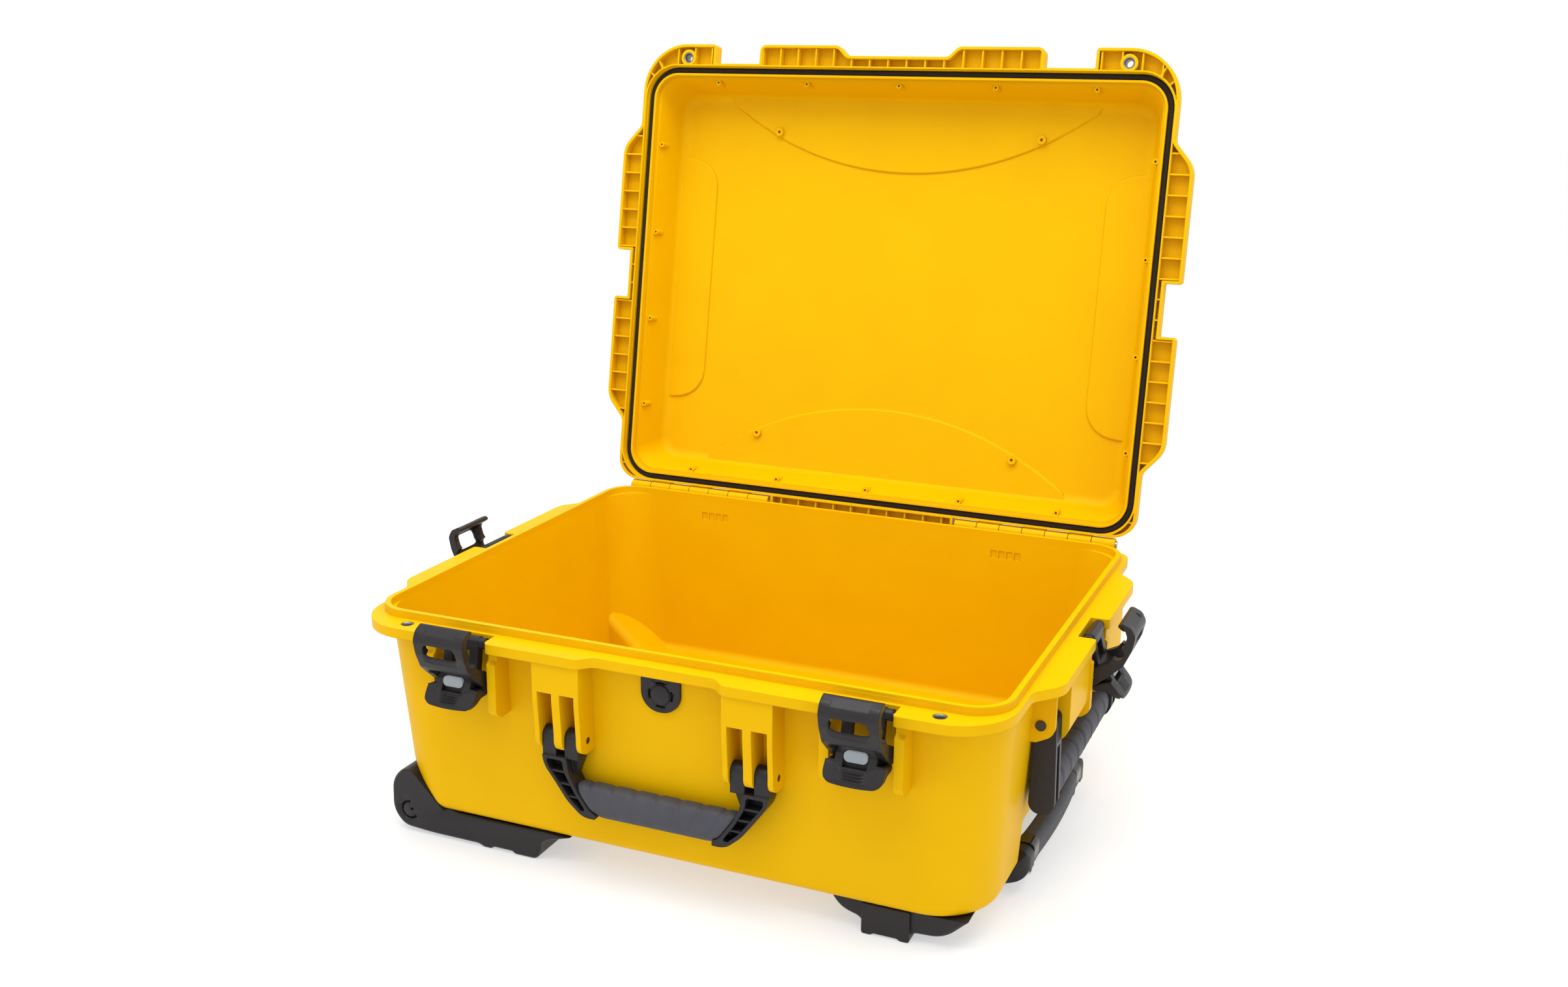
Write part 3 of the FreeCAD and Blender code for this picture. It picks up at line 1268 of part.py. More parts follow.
def tow_frame():
    x0, x1 = tow_in(), tow_in() + TOW_T
    arm = [
        (x0 - TOW_ARM, FOOT_H - 1.6, 2), (x0 - TOW_ARM, TOW_LOW, 2), (x0 - 10, TOW_LOW, 20),
        (x1, FOOT_H - 9, 14), (x1, TOW_SPLIT),
        (x0, TOW_SPLIT), (x0, FOOT_H - 1.6),
    ]
    knob = [(x0, TOW_SPLIT - 5), (x1, TOW_SPLIT - 5), (x1, TOW_TOP - 1, 8), (x0, TOW_TOP - 1, 5)]
    start, end = band_span()
    plan = [(x0 - 60, 0), (x1, 0), (x1, TOW_HALF, TOW_END_R), (x0 - 60, TOW_HALF)]
    face = [(0, TOW_LOW), (TOW_HALF, TOW_LOW, TOW_END_R), (TOW_HALF, TOW_TOP, TOW_END_R), (0, TOW_TOP)]
    cap = fuse([prism_y(arm, start, TOW_HALF), prism_y(knob, end, TOW_HALF)])
    cap = cap.common(prism(plan, 0, TOW_TOP)).common(prism_x(face, x0 - 60, x1 + 5))
    solids = [tow_core(), cap, mirror(cap, AY)]
    tools = []
    for y in (-TUBE_Y, TUBE_Y):
        tools.append(rod(V(x0 - TOW_ARM - 1, y, TUBE_Z), AX, IN_R, TOW_ARM + TOW_T - 3))
    return cut(fuse(solids), tools)


def tow_bands():
    x0, x1 = tow_in(), tow_in() + TOW_T
    shape = [(x0, TOW_SPLIT), (x1, TOW_SPLIT), (x1, TOW_TOP, 6), (x0, TOW_TOP, 4)]
    start, end = band_span()
    sleeve = cut(prism_y(shape, start, end), [tow_core()])
    return [sleeve, mirror(sleeve, AY)]


def tow_grip():
    low = TOW_SPLIT - 8
    wires = []
    for y, bow in ((-TOW_GRIP, 0.0), (-TOW_GRIP / 2, 0.75), (0, 1.0), (TOW_GRIP / 2, 0.75),
        (TOW_GRIP, 0.0)):
        x0 = tow_in() + TOW_BOW * bow
        x1 = x0 + TOW_T
        shape = [(x0, low, 5), (x1, low, 7), (x1, TOW_TOP, 7), (x0, TOW_TOP, 5)]
        wires.append(path(shape, lambda p, y=y: V(p.x, y, p.y)))
    solid = Part.makeLoft(wires, True, False)
    x, z = button_place()
    room = box(x - SLIDE_GAP, x + BUTTON_T + SLIDE_GAP, -BUTTON_HALF - SLIDE_GAP,
        BUTTON_HALF + SLIDE_GAP,
               z - BUTTON_TRAVEL - SLIDE_GAP, TOW_TOP + 5)
    return cut(solid, [tow_core(), room])


def button_place():
    return tow_in() + 0.5 * TOW_T - 0.5 * BUTTON_T + TOW_BOW * 0.6, TOW_TOP - BUTTON_H + 0.6


def tow_button():
    x, z = button_place()
    shape = [(x, -BUTTON_HALF, 2), (x + BUTTON_T, -BUTTON_HALF, 2), (x + BUTTON_T, BUTTON_HALF, 2),
        (x, BUTTON_HALF, 2)]
    return prism(shape, z, z + BUTTON_H)


def save(name, shape):
    solids = shape if isinstance(shape, list) else [shape]
    solids = [one for s in solids for one in s.Solids]
    out = solids[0] if len(solids) == 1 else Part.makeCompound(solids)
    volume = sum(s.Volume for s in solids) / 1000
    print(f"{name:24s} solids {len(solids):2d}  {volume:9.2f} cm3  {'ok' if out.isValid() else 'INVALID'}")
    out.exportStep(f"parts/{name}.step")


def main():
    os.makedirs("parts", exist_ok=True)
    save("base_shell", base_shell())
    save("lid_shell", open_lid(lid_shell()))
    save("lid_gasket", open_lid(lid_gasket()))
    low, high = PART_Z + PART_GAP, LEDGE_Z
    save("lid_eyelets", [open_lid(mirror_z(eyelet(x, low, high), low, high)) for x in (-EYE_X, EYE_X)])
    save("base_eyelets", [eyelet(x, PART_Z - FL_H, PART_Z) for x in (-EYE_X, EYE_X)])
    save("hinge_pins", hinge_pins())
    cover, core, nut = valve_pieces()
    save("valve_cover", cover)
    save("valve_core", core)
    save("valve_nut", nut)
    pins = []
    for name, turn, opened, lean, pivot in latch_places():
        save(f"lever_{name}", put_latch(rest_lever(lever(), opened), turn, pivot))
        save(f"lock_slider_{name}", put_latch(rest_lever(slider(), opened), turn, pivot))
        save(f"claw_pin_{name}", put_latch(rest_lever(claw_pin(), opened), turn, pivot))
        save(f"claw_{name}", put_latch(rest_claw(claw(), opened, lean), turn, pivot))
        pins.append(put_latch(lever_pin(), turn, pivot))
    save("lever_pins", pins)
    frame, grip = front_handle()
    save("front_handle_frame", frame)
    save("front_handle_grip", grip)
    frame, grip = side_handle()
    save("side_handle_frame", frame)
    save("side_handle_grip", grip)
    save("handle_pins", handle_pins())
    housing = wheel_housing()
    save("wheel_housing_front", housing)
    save("wheel_housing_rear", mirror(housing, AY))
    tyre, hub, bush, axle = wheel_pieces()
    for name, turn in (("front", False), ("rear", True)):
        save(f"wheel_tyre_{name}", mirror(tyre, AY) if turn else tyre)
        save(f"wheel_hub_{name}", mirror(hub, AY) if turn else hub)
        save(f"wheel_bush_{name}", mirror(bush, AY) if turn else bush)
    save("wheel_axles", [axle, mirror(axle, AY)])
    foot = right_foot()
    save("right_foot_front", foot)
    save("right_foot_rear", mirror(foot, AY))
    tray, outers, inners = tow_pieces()
    save("tow_tray", tray)
    save("tow_outer_tubes", outers)
    save("tow_inner_tubes", inners)
    save("tow_frame", tow_frame())
    save("tow_bands", tow_bands())
    save("tow_grip", tow_grip())
    save("tow_button", tow_button())
    save("floor_screws", floor_screws())


def mirror_z(shape, low, high):
    return shape.mirror(V(0, 0, 0.5 * (low + high)), AZ)


main()
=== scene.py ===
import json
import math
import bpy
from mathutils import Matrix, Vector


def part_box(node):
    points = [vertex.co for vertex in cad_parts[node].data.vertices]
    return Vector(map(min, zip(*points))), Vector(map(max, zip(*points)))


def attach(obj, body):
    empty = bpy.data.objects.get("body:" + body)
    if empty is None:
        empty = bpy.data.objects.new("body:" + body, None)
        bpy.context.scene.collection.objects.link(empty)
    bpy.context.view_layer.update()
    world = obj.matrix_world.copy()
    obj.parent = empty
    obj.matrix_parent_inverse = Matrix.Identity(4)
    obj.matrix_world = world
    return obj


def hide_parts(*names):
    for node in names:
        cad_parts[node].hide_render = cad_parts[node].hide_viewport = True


bl_info = {
    "name": "Wheeled Hard Case",
    "version": (1, 0, 0),
    "blender": (4, 5, 0),
    "location": "View3D > Sidebar > Case",
    "description": "Finishes, detail pieces and stage of an open wheeled protective case",
    "category": "Object",
}

from types import SimpleNamespace

import bmesh
import bpy
import numpy as np
from bpy.props import FloatProperty, FloatVectorProperty, IntProperty, PointerProperty
from mathutils import Matrix, Vector

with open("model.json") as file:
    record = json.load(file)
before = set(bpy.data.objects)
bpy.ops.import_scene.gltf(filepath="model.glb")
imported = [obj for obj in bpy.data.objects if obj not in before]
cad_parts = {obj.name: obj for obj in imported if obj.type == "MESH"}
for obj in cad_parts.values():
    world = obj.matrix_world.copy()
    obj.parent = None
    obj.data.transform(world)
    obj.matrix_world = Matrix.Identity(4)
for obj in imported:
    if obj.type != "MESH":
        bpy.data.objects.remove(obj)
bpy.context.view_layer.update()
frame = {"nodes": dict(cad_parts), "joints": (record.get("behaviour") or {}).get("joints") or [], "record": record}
NODES = frame["nodes"]
JOINTS = {j["name"]: j for j in frame["joints"]}
MM = 0.001
LATCHES = ("front_left", "front_right", "right", "left")
ENDS = ("front", "rear")

# Finish of each material slot
FINISHES = {
    "shell": "moulded polypropylene",
    "gasket": "foam cord",
    "steel": "stainless steel",
    "black": "glass filled nylon",
    "soft_grip": "moulded rubber",
    "slider": "acetal",
    "gloss_black": "polished styrene",
    "tyre": "urethane",
    "hub": "glass filled nylon",
    "bush": "sintered bronze",
    "tube": "anodised aluminium",
}

# Colour sockets of a Mix node, and the range that most values of a noise texture lie in
MIX_A, MIX_B, MIX_RESULT = 6, 7, 2
NOISE_LOW, NOISE_HIGH = 0.3, 0.7


def linear(code):
    """sRGB hex such as 'F7C500' to linear RGB with alpha 1, by the sRGB transfer curve."""
    srgb = np.array([int(code[i:i + 2], 16) / 255 for i in (0, 2, 4)])
    rgb = np.where(srgb <= 0.04045, srgb / 12.92, ((srgb + 0.055) / 1.055) ** 2.4)
    return (*rgb.tolist(), 1.0)


# ---------------------------------------------------------------- finishes

def fill(node, **values):
    """Sets a node's inputs by name, with underscores for spaces."""
    for key, value in values.items():
        node.inputs[key.replace("_", " ")].default_value = value


def add(tree, kind, links=(), **settings):
    """Adds one node; a setting named after an attribute sets it, any other fills the input of that name."""
    made = tree.nodes.new(kind)
    for key, value in settings.items():
        if hasattr(made, key):
            setattr(made, key, value)
        else:
            fill(made, **{key: value})
    for source, target in links:
        tree.links.new(source, made.inputs[target])
    return made


def per_mm(size_mm):
    """Noise scale whose features are about size_mm across on Object coordinates in metres."""
    return 1.0 / (size_mm * MM)


def new_material(name):
    mat = bpy.data.materials.new(name)
    mat.use_nodes = True
    tree = mat.node_tree
    return mat, tree, tree.nodes["Principled BSDF"]


def moulded(name, dark, light, cloud_mm, grain_mm, grain_depth_mm, rough, spread, edge_mm=0.0, level=0.5):
    """Moulded plastic: two close colours drift over cloud_mm, and grain of grain_mm breaks the gloss.

    Roughness varies by spread about rough, and edges are shaded as if rounded by edge_mm.
    """
    _, tree, shader = new_material(name)
    place = add(tree, "ShaderNodeTexCoord").outputs["Object"]
    cloud = add(tree, "ShaderNodeTexNoise", [(place, "Vector")], Scale=per_mm(cloud_mm), Detail=3.0)
    tint = add(tree, "ShaderNodeMix", [(cloud.outputs["Fac"], "Factor")], data_type="RGBA")
    tint.inputs[MIX_A].default_value = dark
    tint.inputs[MIX_B].default_value = light
    tree.links.new(tint.outputs[MIX_RESULT], shader.inputs["Base Color"])
    grain = add(tree, "ShaderNodeTexNoise", [(place, "Vector")],
                Scale=per_mm(grain_mm), Detail=2.0, Roughness=0.6)
    gloss = add(tree, "ShaderNodeMapRange", [(grain.outputs["Fac"], "Value")],
                From_Min=NOISE_LOW, From_Max=NOISE_HIGH, To_Min=rough - spread, To_Max=rough + spread)
    tree.links.new(gloss.outputs["Result"], shader.inputs["Roughness"])
    bump = add(tree, "ShaderNodeBump", [(grain.outputs["Fac"], "Height")],
               Distance=grain_depth_mm * MM, Strength=0.5)
    if edge_mm:
        soft = add(tree, "ShaderNodeBevel", samples=4, Radius=edge_mm * MM)
        tree.links.new(soft.outputs["Normal"], bump.inputs["Normal"])
    tree.links.new(bump.outputs["Normal"], shader.inputs["Normal"])
    fill(shader, IOR=1.49, Specular_IOR_Level=level)


def metal(name, colour, rough):
    """Bare metal whose gloss varies with fine wear, smoother by 0.08 to rougher by 0.12."""
    _, tree, shader = new_material(name)
    place = add(tree, "ShaderNodeTexCoord").outputs["Object"]
    wear = add(tree, "ShaderNodeTexNoise", [(place, "Vector")], Scale=per_mm(1.5), Detail=4.0)
    gloss = add(tree, "ShaderNodeMapRange", [(wear.outputs["Fac"], "Value")],
                To_Min=rough - 0.08, To_Max=rough + 0.12)
    tree.links.new(gloss.outputs["Result"], shader.inputs["Roughness"])
    fill(shader, Base_Color=linear(colour), Metallic=1.0)


def paint(node, finish):
    """Gives a CAD node its finish."""
    mesh = NODES[node].data
    mesh.materials.clear()
    mesh.materials.append(bpy.data.materials[finish])


# ---------------------------------------------------------------- shapes and pieces, in mm

def surface(name, grid, loop=False):
    """Mesh of a grid of points (rows, columns, xyz) whose rows are closed rings.

    The rows join into a loop, or the first and last ring are closed by a face each.
    """
    rows, columns = grid.shape[:2]
    index = np.arange(rows * columns).reshape(rows, columns)
    if loop:
        index = np.vstack([index, index[:1]])
    ring = np.hstack([index, index[:, :1]])
    quads = np.stack([ring[:-1, :-1], ring[:-1, 1:], ring[1:, 1:], ring[1:, :-1]], axis=-1)
    faces = quads.reshape(-1, 4).tolist()
    if not loop:
        faces += [index[0, ::-1].tolist(), index[-1].tolist()]
    mesh = bpy.data.meshes.new(name)
    mesh.from_pydata((grid.reshape(-1, 3) * MM).tolist(), [], faces)
    shape = bmesh.new()
    shape.from_mesh(mesh)
    bmesh.ops.recalc_face_normals(shape, faces=shape.faces)
    shape.to_mesh(mesh)
    shape.free()
    mesh.shade_smooth()
    mesh.set_sharp_from_angle(angle=math.radians(38))
    return mesh


def carved(node, tools):
    """Copy of a CAD node's mesh, its loose triangles merged, worked on by closed meshes.

    Each tool is a mesh with DIFFERENCE, to take it out, or INTERSECT, to keep what is common.
    """
    shape = bmesh.new()
    shape.from_mesh(NODES[node].data)
    bmesh.ops.remove_doubles(shape, verts=shape.verts, dist=1e-6)
    mesh = bpy.data.meshes.new(node + "_carved")
    shape.to_mesh(mesh)
    shape.free()
    mesh.materials.clear()
    holder = bpy.data.objects.new("holder", mesh)
    holders = [holder]
    for tool, operation in tools:
        cut = holder.modifiers.new("carve", "BOOLEAN")
        cut.operation = operation
        cut.solver = "EXACT"
        cut.object = bpy.data.objects.new("tool", tool)
        holders.append(cut.object)
    for each in holders:
        bpy.context.scene.collection.objects.link(each)
    view = bpy.context.evaluated_depsgraph_get()
    made = bpy.data.meshes.new_from_object(holder.evaluated_get(view))
    for each in holders:
        bpy.data.objects.remove(each)
    if not made.polygons:
        raise RuntimeError("nothing is left of " + node)
    made.shade_smooth()
    made.set_sharp_from_angle(angle=math.radians(30))
    return made


def fit(name, mesh, body, slot, node=None, finish=None):
    """Puts a mesh on a body, in place of a CAD node where one is named, with the finish named or else that of its
    slot.
    """
    mesh.materials.append(bpy.data.materials[finish or FINISHES[slot]])
    piece = bpy.data.objects.new(name, mesh)
    bpy.context.scene.collection.objects.link(piece)
    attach(piece, body)
    if node:
        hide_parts(node)
    return piece


def even(piece):
    """Shades large flat faces flat beside their rounded edges."""
    piece.modifiers.new("even", "WEIGHTED_NORMAL").keep_sharp = True


def node_box(node):
    """Middle and half size of a CAD node."""
    low, high = (np.array(p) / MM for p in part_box(node))
    return (low + high) / 2, (high - low) / 2


def in_mm(group):
    """Values of a property group by name, with its lengths in mm."""
    kinds = {p.identifier: p for p in group.bl_rna.properties if p.type in ("INT", "FLOAT")}
    values = {name: getattr(group, name) for name in kinds}
    lengths = {name: np.divide(values[name], MM) for name, kind in kinds.items() if kind.unit == "LENGTH"}
    return SimpleNamespace(**{**values, **lengths})


def oval(count, power):
    """Ring of a superellipse of half size 1: cosine and sine, each raised to power with its sign kept."""
    turn = np.linspace(0, 2 * np.pi, count, endpoint=False)[None, :]
    return tuple(np.sign(f) * np.abs(f) ** power for f in (np.cos(turn), np.sin(turn)))


def step(value, width):
    """Smooth step down from 1 to 0 where value passes zero: the logistic curve of the given width."""
    return 1 / (1 + np.exp(value / width))


def turned(profile, centre, axis, count):
    """Profile of (radius, height) points turned about an axis (1 for Y, 2 for Z) at a centre."""
    radius, height = np.array(profile).T
    angle = np.linspace(0, 2 * np.pi, count, endpoint=False)[:, None]
    across = radius[None, :] * np.cos(angle)
    rise = radius[None, :] * np.sin(angle)
    along = np.broadcast_to(height[None, :], across.shape)
    axes = (across, along, rise) if axis == 1 else (across, rise, along)
    return np.stack(axes, axis=-1) + np.array(centre)


def arc_slot(centre, face, out, radii, deep, span):
    """Slot in a face across Y, open to the side out: a rectangle carried along an arc round (x, z).

    It stands 1 mm out of the face, so that no faces coincide; span is in degrees.
    """
    inner, outer = radii
    turn = np.radians(np.linspace(*span, 48))[:, None]
    radius = np.array([inner, outer, outer, inner])[None, :]
    depth = np.array([1.0, 1.0, -deep, -deep])[None, :]
    across = centre[0] + radius * np.cos(turn)
    rise = centre[1] + radius * np.sin(turn)
    return np.stack([across, np.broadcast_to(face + out * depth, across.shape), rise], axis=-1)


def rounded_prism(corners, low, high, edge):
    """Closed prism along Y whose outline has round corners and whose two end edges are quarter rounds.

    A corner is a quadratic curve between the points at its reach on both sides. A row of the end round
    is the outline moved inwards by edge times one minus the sine, at a depth of edge times one minus
    the cosine.
    """
    corners = np.array(corners, float)
    point, reach = corners[:, None, :2], corners[:, None, 2:]
    back = np.roll(point, 1, axis=0) - point
    ahead = np.roll(point, -1, axis=0) - point
    start = point + reach * back / np.linalg.norm(back, axis=-1, keepdims=True)
    finish = point + reach * ahead / np.linalg.norm(ahead, axis=-1, keepdims=True)
    t = np.linspace(0, 1, 10)[None, :, None]
    line = ((1 - t) ** 2 * start + 2 * t * (1 - t) * point + t ** 2 * finish).reshape(-1, 2)
    run = ((1 - t) * (point - start) + t * (finish - point)).reshape(-1, 2)
    run = run / np.linalg.norm(run, axis=-1, keepdims=True)
    inward = np.stack([-run[:, 1], run[:, 0]], axis=-1)
    turn = np.linspace(0, np.pi / 2, 8)
    inset = edge * (1 - np.sin(turn))
    depth = edge * (1 - np.cos(turn))
    rows = np.concatenate([inset, inset[::-1]])[:, None, None]
    y = np.concatenate([low + depth, high - depth[::-1]])[:, None]
    outline = line[None] + rows * inward[None]
    return np.stack([outline[..., 0], np.broadcast_to(y, outline.shape[:2]), outline[..., 1]], axis=-1)


def opened(points):
    """Turns points drawn on the closed lid about the hinge line to the opened lid."""
    hinge = JOINTS["lid_hinge"]
    pin = np.array(hinge["pos_m"]) / MM
    turn = np.array(Matrix.Rotation(-math.radians(hinge["range_deg"][1]), 3, Vector(hinge["axis"])))
    return (points - pin) @ turn.T + pin


def placed(points, pin_m, lean, axis):
    """Leans points drawn upright from a pin about X, turns them as the axis lies, and carries them there."""
    tilt = Matrix.Rotation(math.radians(lean), 3, "X")
    face = Matrix.Rotation(math.atan2(axis[1], axis[0]), 3, "Z")
    return points @ np.array(face @ tilt).T + np.array(pin_m) / MM


# ---------------------------------------------------------------- properties

class CaseColours(bpy.types.PropertyGroup):
    """Colours of the case's finishes."""
    shell_dark: FloatVectorProperty(
        name="Shell, deep", description="Deeper tone of the shells",
        default=linear("DCA900"), size=4, min=0, max=1, subtype="COLOR")
    shell_light: FloatVectorProperty(
        name="Shell, light", description="Lighter tone of the shells",
        default=linear("E3B200"), size=4, min=0, max=1, subtype="COLOR")
    black_dark: FloatVectorProperty(
        name="Black, deep", description="Deeper tone of handles and latches",
        default=linear("1A1718"), size=4, min=0, max=1, subtype="COLOR")
    black_light: FloatVectorProperty(
        name="Black, light", description="Lighter tone of handles and latches",
        default=linear("242122"), size=4, min=0, max=1, subtype="COLOR")
    grip_dark: FloatVectorProperty(
        name="Grip, deep", description="Deeper tone of the soft grips",
        default=linear("3A3B41"), size=4, min=0, max=1, subtype="COLOR")
    grip_light: FloatVectorProperty(
        name="Grip, light", description="Lighter tone of the soft grips",
        default=linear("45464D"), size=4, min=0, max=1, subtype="COLOR")


class CaseSizes(bpy.types.PropertyGroup):
    """Sizes of the detail pieces."""
    finger_waves: IntProperty(
        name="Finger waves", description="Waves along the top of the front grip", default=7)
    finger_depth: FloatProperty(
        name="Finger depth", description="Depth of the creases between the finger waves",
        default=1.3 * MM, unit="LENGTH")
    ring_count: IntProperty(
        name="Rings", description="Grooves round the side grip", default=7)
    ring_depth: FloatProperty(
        name="Ring depth", description="Depth of a groove of the side grip",
        default=1.6 * MM, unit="LENGTH")
    tab_half: FloatProperty(
        name="Tab width", description="Half width of a lever's finger tab",
        default=25.4 * MM, unit="LENGTH")
    tab_ribs: IntProperty(
        name="Tab ribs", description="Ridges across a finger tab", default=4)
    rib_rise: FloatProperty(
        name="Rib rise", description="Height of a ridge on a finger tab",
        default=1.5 * MM, unit="LENGTH")
    window_half: FloatProperty(
        name="Window width", description="Half width of a claw's window",
        default=16.8 * MM, unit="LENGTH")
    window_rise: FloatProperty(
        name="Window height", description="Half height of a claw's window",
        default=7.1 * MM, unit="LENGTH")
    window_middle: FloatProperty(
        name="Window place", description="Middle of a claw's window above its pin",
        default=45.3 * MM, unit="LENGTH")
    foot_edge: FloatProperty(
        name="Foot edges", description="Edge radius of wheel housings and feet",
        default=3.6 * MM, unit="LENGTH")
    pad_rise: FloatProperty(
        name="Foot pad", description="Height of the pad on a foot's outer face",
        default=3.2 * MM, unit="LENGTH")
    slot_angle: FloatProperty(
        name="Valve slots", description="Angle that each slot of the valve cover spans",
        default=math.radians(46), subtype="ANGLE", unit="ROTATION")
    seal_length: FloatProperty(
        name="Seal length", description="Half length of the gasket line",
        default=295.0 * MM, unit="LENGTH")
    seal_width: FloatProperty(
        name="Seal width", description="Half width of the gasket line",
        default=233.0 * MM, unit="LENGTH")
    seal_corner: FloatProperty(
        name="Seal corner", description="Corner radius of the gasket line",
        default=32.0 * MM, unit="LENGTH")
    eyelet_place: FloatVectorProperty(
        name="Eyelets", description="Place of the right eyelet in the closed lid's flange",
        default=(249.0 * MM, -246.0 * MM, 217.9 * MM), subtype="TRANSLATION", unit="LENGTH")
    eyelet_bore: FloatProperty(
        name="Eyelet bore", description="Radius of the eyelet's hole",
        default=4.0 * MM, unit="LENGTH")
    tread_grooves: IntProperty(
        name="Tread grooves", description="Grooves round each tyre", default=3)


class CaseView(bpy.types.PropertyGroup):
    """Camera of the stage."""
    lens: FloatProperty(
        name="Lens", description="Focal length on a 36 mm sensor", default=36.374, unit="CAMERA")
    azimuth: FloatProperty(
        name="Azimuth", description="Camera side angle",
        default=math.radians(22.900), subtype="ANGLE", unit="ROTATION")
    elevation: FloatProperty(
        name="Elevation", description="Camera height angle",
        default=math.radians(15.534), subtype="ANGLE", unit="ROTATION")
    roll: FloatProperty(
        name="Roll", description="Camera roll",
        default=math.radians(0.598), subtype="ANGLE", unit="ROTATION")
    stand: FloatVectorProperty(
        name="Stand", description="Camera position",
        default=(0.57923, -1.34387, 0.71280), subtype="TRANSLATION", unit="LENGTH")


# ---------------------------------------------------------------- operators

class CASE_OT_finishes(bpy.types.Operator):
    """Make the materials and give each CAD node its own"""
    bl_idname = "case.finishes"
    bl_label = "Finishes"

    def execute(self, context):
        tones = context.scene.case_colours
        # Polypropylene copolymer, injection moulded: satin, with a fine spark grain
        moulded("moulded polypropylene", tones.shell_dark, tones.shell_light, cloud_mm=60, grain_mm=0.9,
                grain_depth_mm=0.05, rough=0.42, spread=0.05, edge_mm=1.2, level=0.06)
        # Glass filled nylon: satin and slightly mottled
        moulded("glass filled nylon", tones.black_dark, tones.black_light, cloud_mm=8, grain_mm=0.8,
                grain_depth_mm=0.06, rough=0.40, spread=0.07, edge_mm=1.6, level=0.32)
        # Thermoplastic rubber moulded over the handle cores
        moulded("moulded rubber", tones.grip_dark, tones.grip_light, cloud_mm=14, grain_mm=0.7,
                grain_depth_mm=0.08, rough=0.62, spread=0.06, edge_mm=0.8, level=0.4)
        # Polymer foam cord
        moulded("foam cord", linear("1E1916"), linear("2A231E"), cloud_mm=5, grain_mm=0.6,
                grain_depth_mm=0.12, rough=0.85, spread=0.05, level=0.3)
        # Acetal, satin grey
        moulded("acetal", linear("8E959A"), linear("9DA4A9"), cloud_mm=12, grain_mm=0.9,
                grain_depth_mm=0.03, rough=0.38, spread=0.05, edge_mm=0.6)
        # Styrene plastic, polished
        moulded("polished styrene", linear("131213"), linear("1A191A"), cloud_mm=20, grain_mm=3.0,
                grain_depth_mm=0.01, rough=0.14, spread=0.03, edge_mm=0.8)
        # Solid polyurethane tyre
        moulded("urethane", linear("1D1C1C"), linear("272626"), cloud_mm=6, grain_mm=1.2,
                grain_depth_mm=0.1, rough=0.7, spread=0.06, edge_mm=0.8)
        metal("stainless steel", "A9A59D", rough=0.30)
        metal("blackened steel", "4A4642", rough=0.45)
        metal("rolled steel", "86817A", rough=0.42)
        metal("anodised aluminium", "C9CACC", rough=0.36)
        metal("sintered bronze", "A98C50", rough=0.45)
        for row in frame["record"]["subparts"]:
            paint(row["node"], FINISHES[row["material_slot"]])
        paint("handle_pins", "blackened steel")
        return {"FINISHED"}


class CASE_OT_grips(bpy.types.Operator):
    """Make the soft grips of the front and side handles"""
    bl_idname = "case.grips"
    bl_label = "Grips"

    def execute(self, context):
        sizes = in_mm(context.scene.case_sizes)
        for side, grid in (("front", front_grip(sizes)), ("side", side_grip(sizes))):
            name = side + "_grip"
            fit(name, surface(name, grid), side + "_handle", "soft_grip", side + "_handle_grip")
        return {"FINISHED"}


# Half length of the front grip at heights above its underside, following the arms
GRIP_HEIGHTS = (0, 4, 7.5, 22, 38)
GRIP_REACHES = (55.2, 55.2, 61.2, 71.8, 80.8)


def front_grip(sizes):
    """Oval bar along X whose ends lean outwards with height, as the arms do.

    The top and front are drawn in by narrow creases, a raised cosine to a high power along the bar,
    that fade out towards the lower half and stop short of the ends.
    """
    middle, half = node_box("front_handle_grip")
    along = np.linspace(-1, 1, 181)[:, None]
    depth, rise = oval(72, 0.72)
    crease = (0.5 + 0.5 * np.cos(np.pi * sizes.finger_waves * along)) ** 6 * (np.abs(along) < 0.9)
    crease = sizes.finger_depth * crease
    end = 1 - 0.08 * np.abs(along) ** 30
    top, front = np.clip(rise, 0, 1), np.clip(-depth, 0, 1)
    height = middle[2] + half[2] * rise * end - crease * top ** 2 - 0.4 * crease * front
    out = middle[1] + half[1] * depth * end + 0.5 * crease * front
    reach = np.interp(height - (middle[2] - half[2]), GRIP_HEIGHTS, GRIP_REACHES)
    return np.stack([along * reach, out, height], axis=-1)


def side_grip(sizes):
    """Oval bar along Y, drawn in by narrow bell-shaped grooves at even steps and rounded at its ends.

    Between the grooves it swells as the absolute sine does.
    """
    middle, half = node_box("side_handle_grip")
    along = np.linspace(-1, 1, 241)[:, None]
    out, rise = oval(64, 0.85)
    grooves = np.linspace(-0.78, 0.78, sizes.ring_count)[None, :]
    bells = np.exp(-((along - grooves) / 0.022) ** 2).sum(axis=1, keepdims=True)
    swell = np.abs(np.sin(np.pi * (along + 0.91) / 0.26))
    cut = sizes.ring_depth * bells + 0.4 * (1 - swell) + 1.2 * np.abs(along) ** 40
    x = middle[0] + (half[0] - cut) * out
    z = middle[2] + (half[2] - cut) * rise
    return np.stack([x, np.broadcast_to(middle[1] + half[1] * along, x.shape), z], axis=-1)


class CASE_OT_tabs(bpy.types.Operator):
    """Make the finger tabs of the four latch levers"""
    bl_idname = "case.tabs"
    bl_label = "Tabs"

    def execute(self, context):
        grid = finger_tab(in_mm(context.scene.case_sizes))
        for side in LATCHES:
            hinge = JOINTS["lever_" + side + "_hinge"]
            points = placed(grid, hinge["pos_m"], -hinge["range_deg"][1], hinge["axis"])
            fit("tab_" + side, surface("tab_" + side, points), "lever_" + side, "black")
        return {"FINISHED"}


# How far the middle of a finger tab stands out at depths below the lever's pivot
TAB_DEPTHS = (39.4, 46, 54, 60)
TAB_LEANS = (13.3, 16.6, 20.1, 21.9)


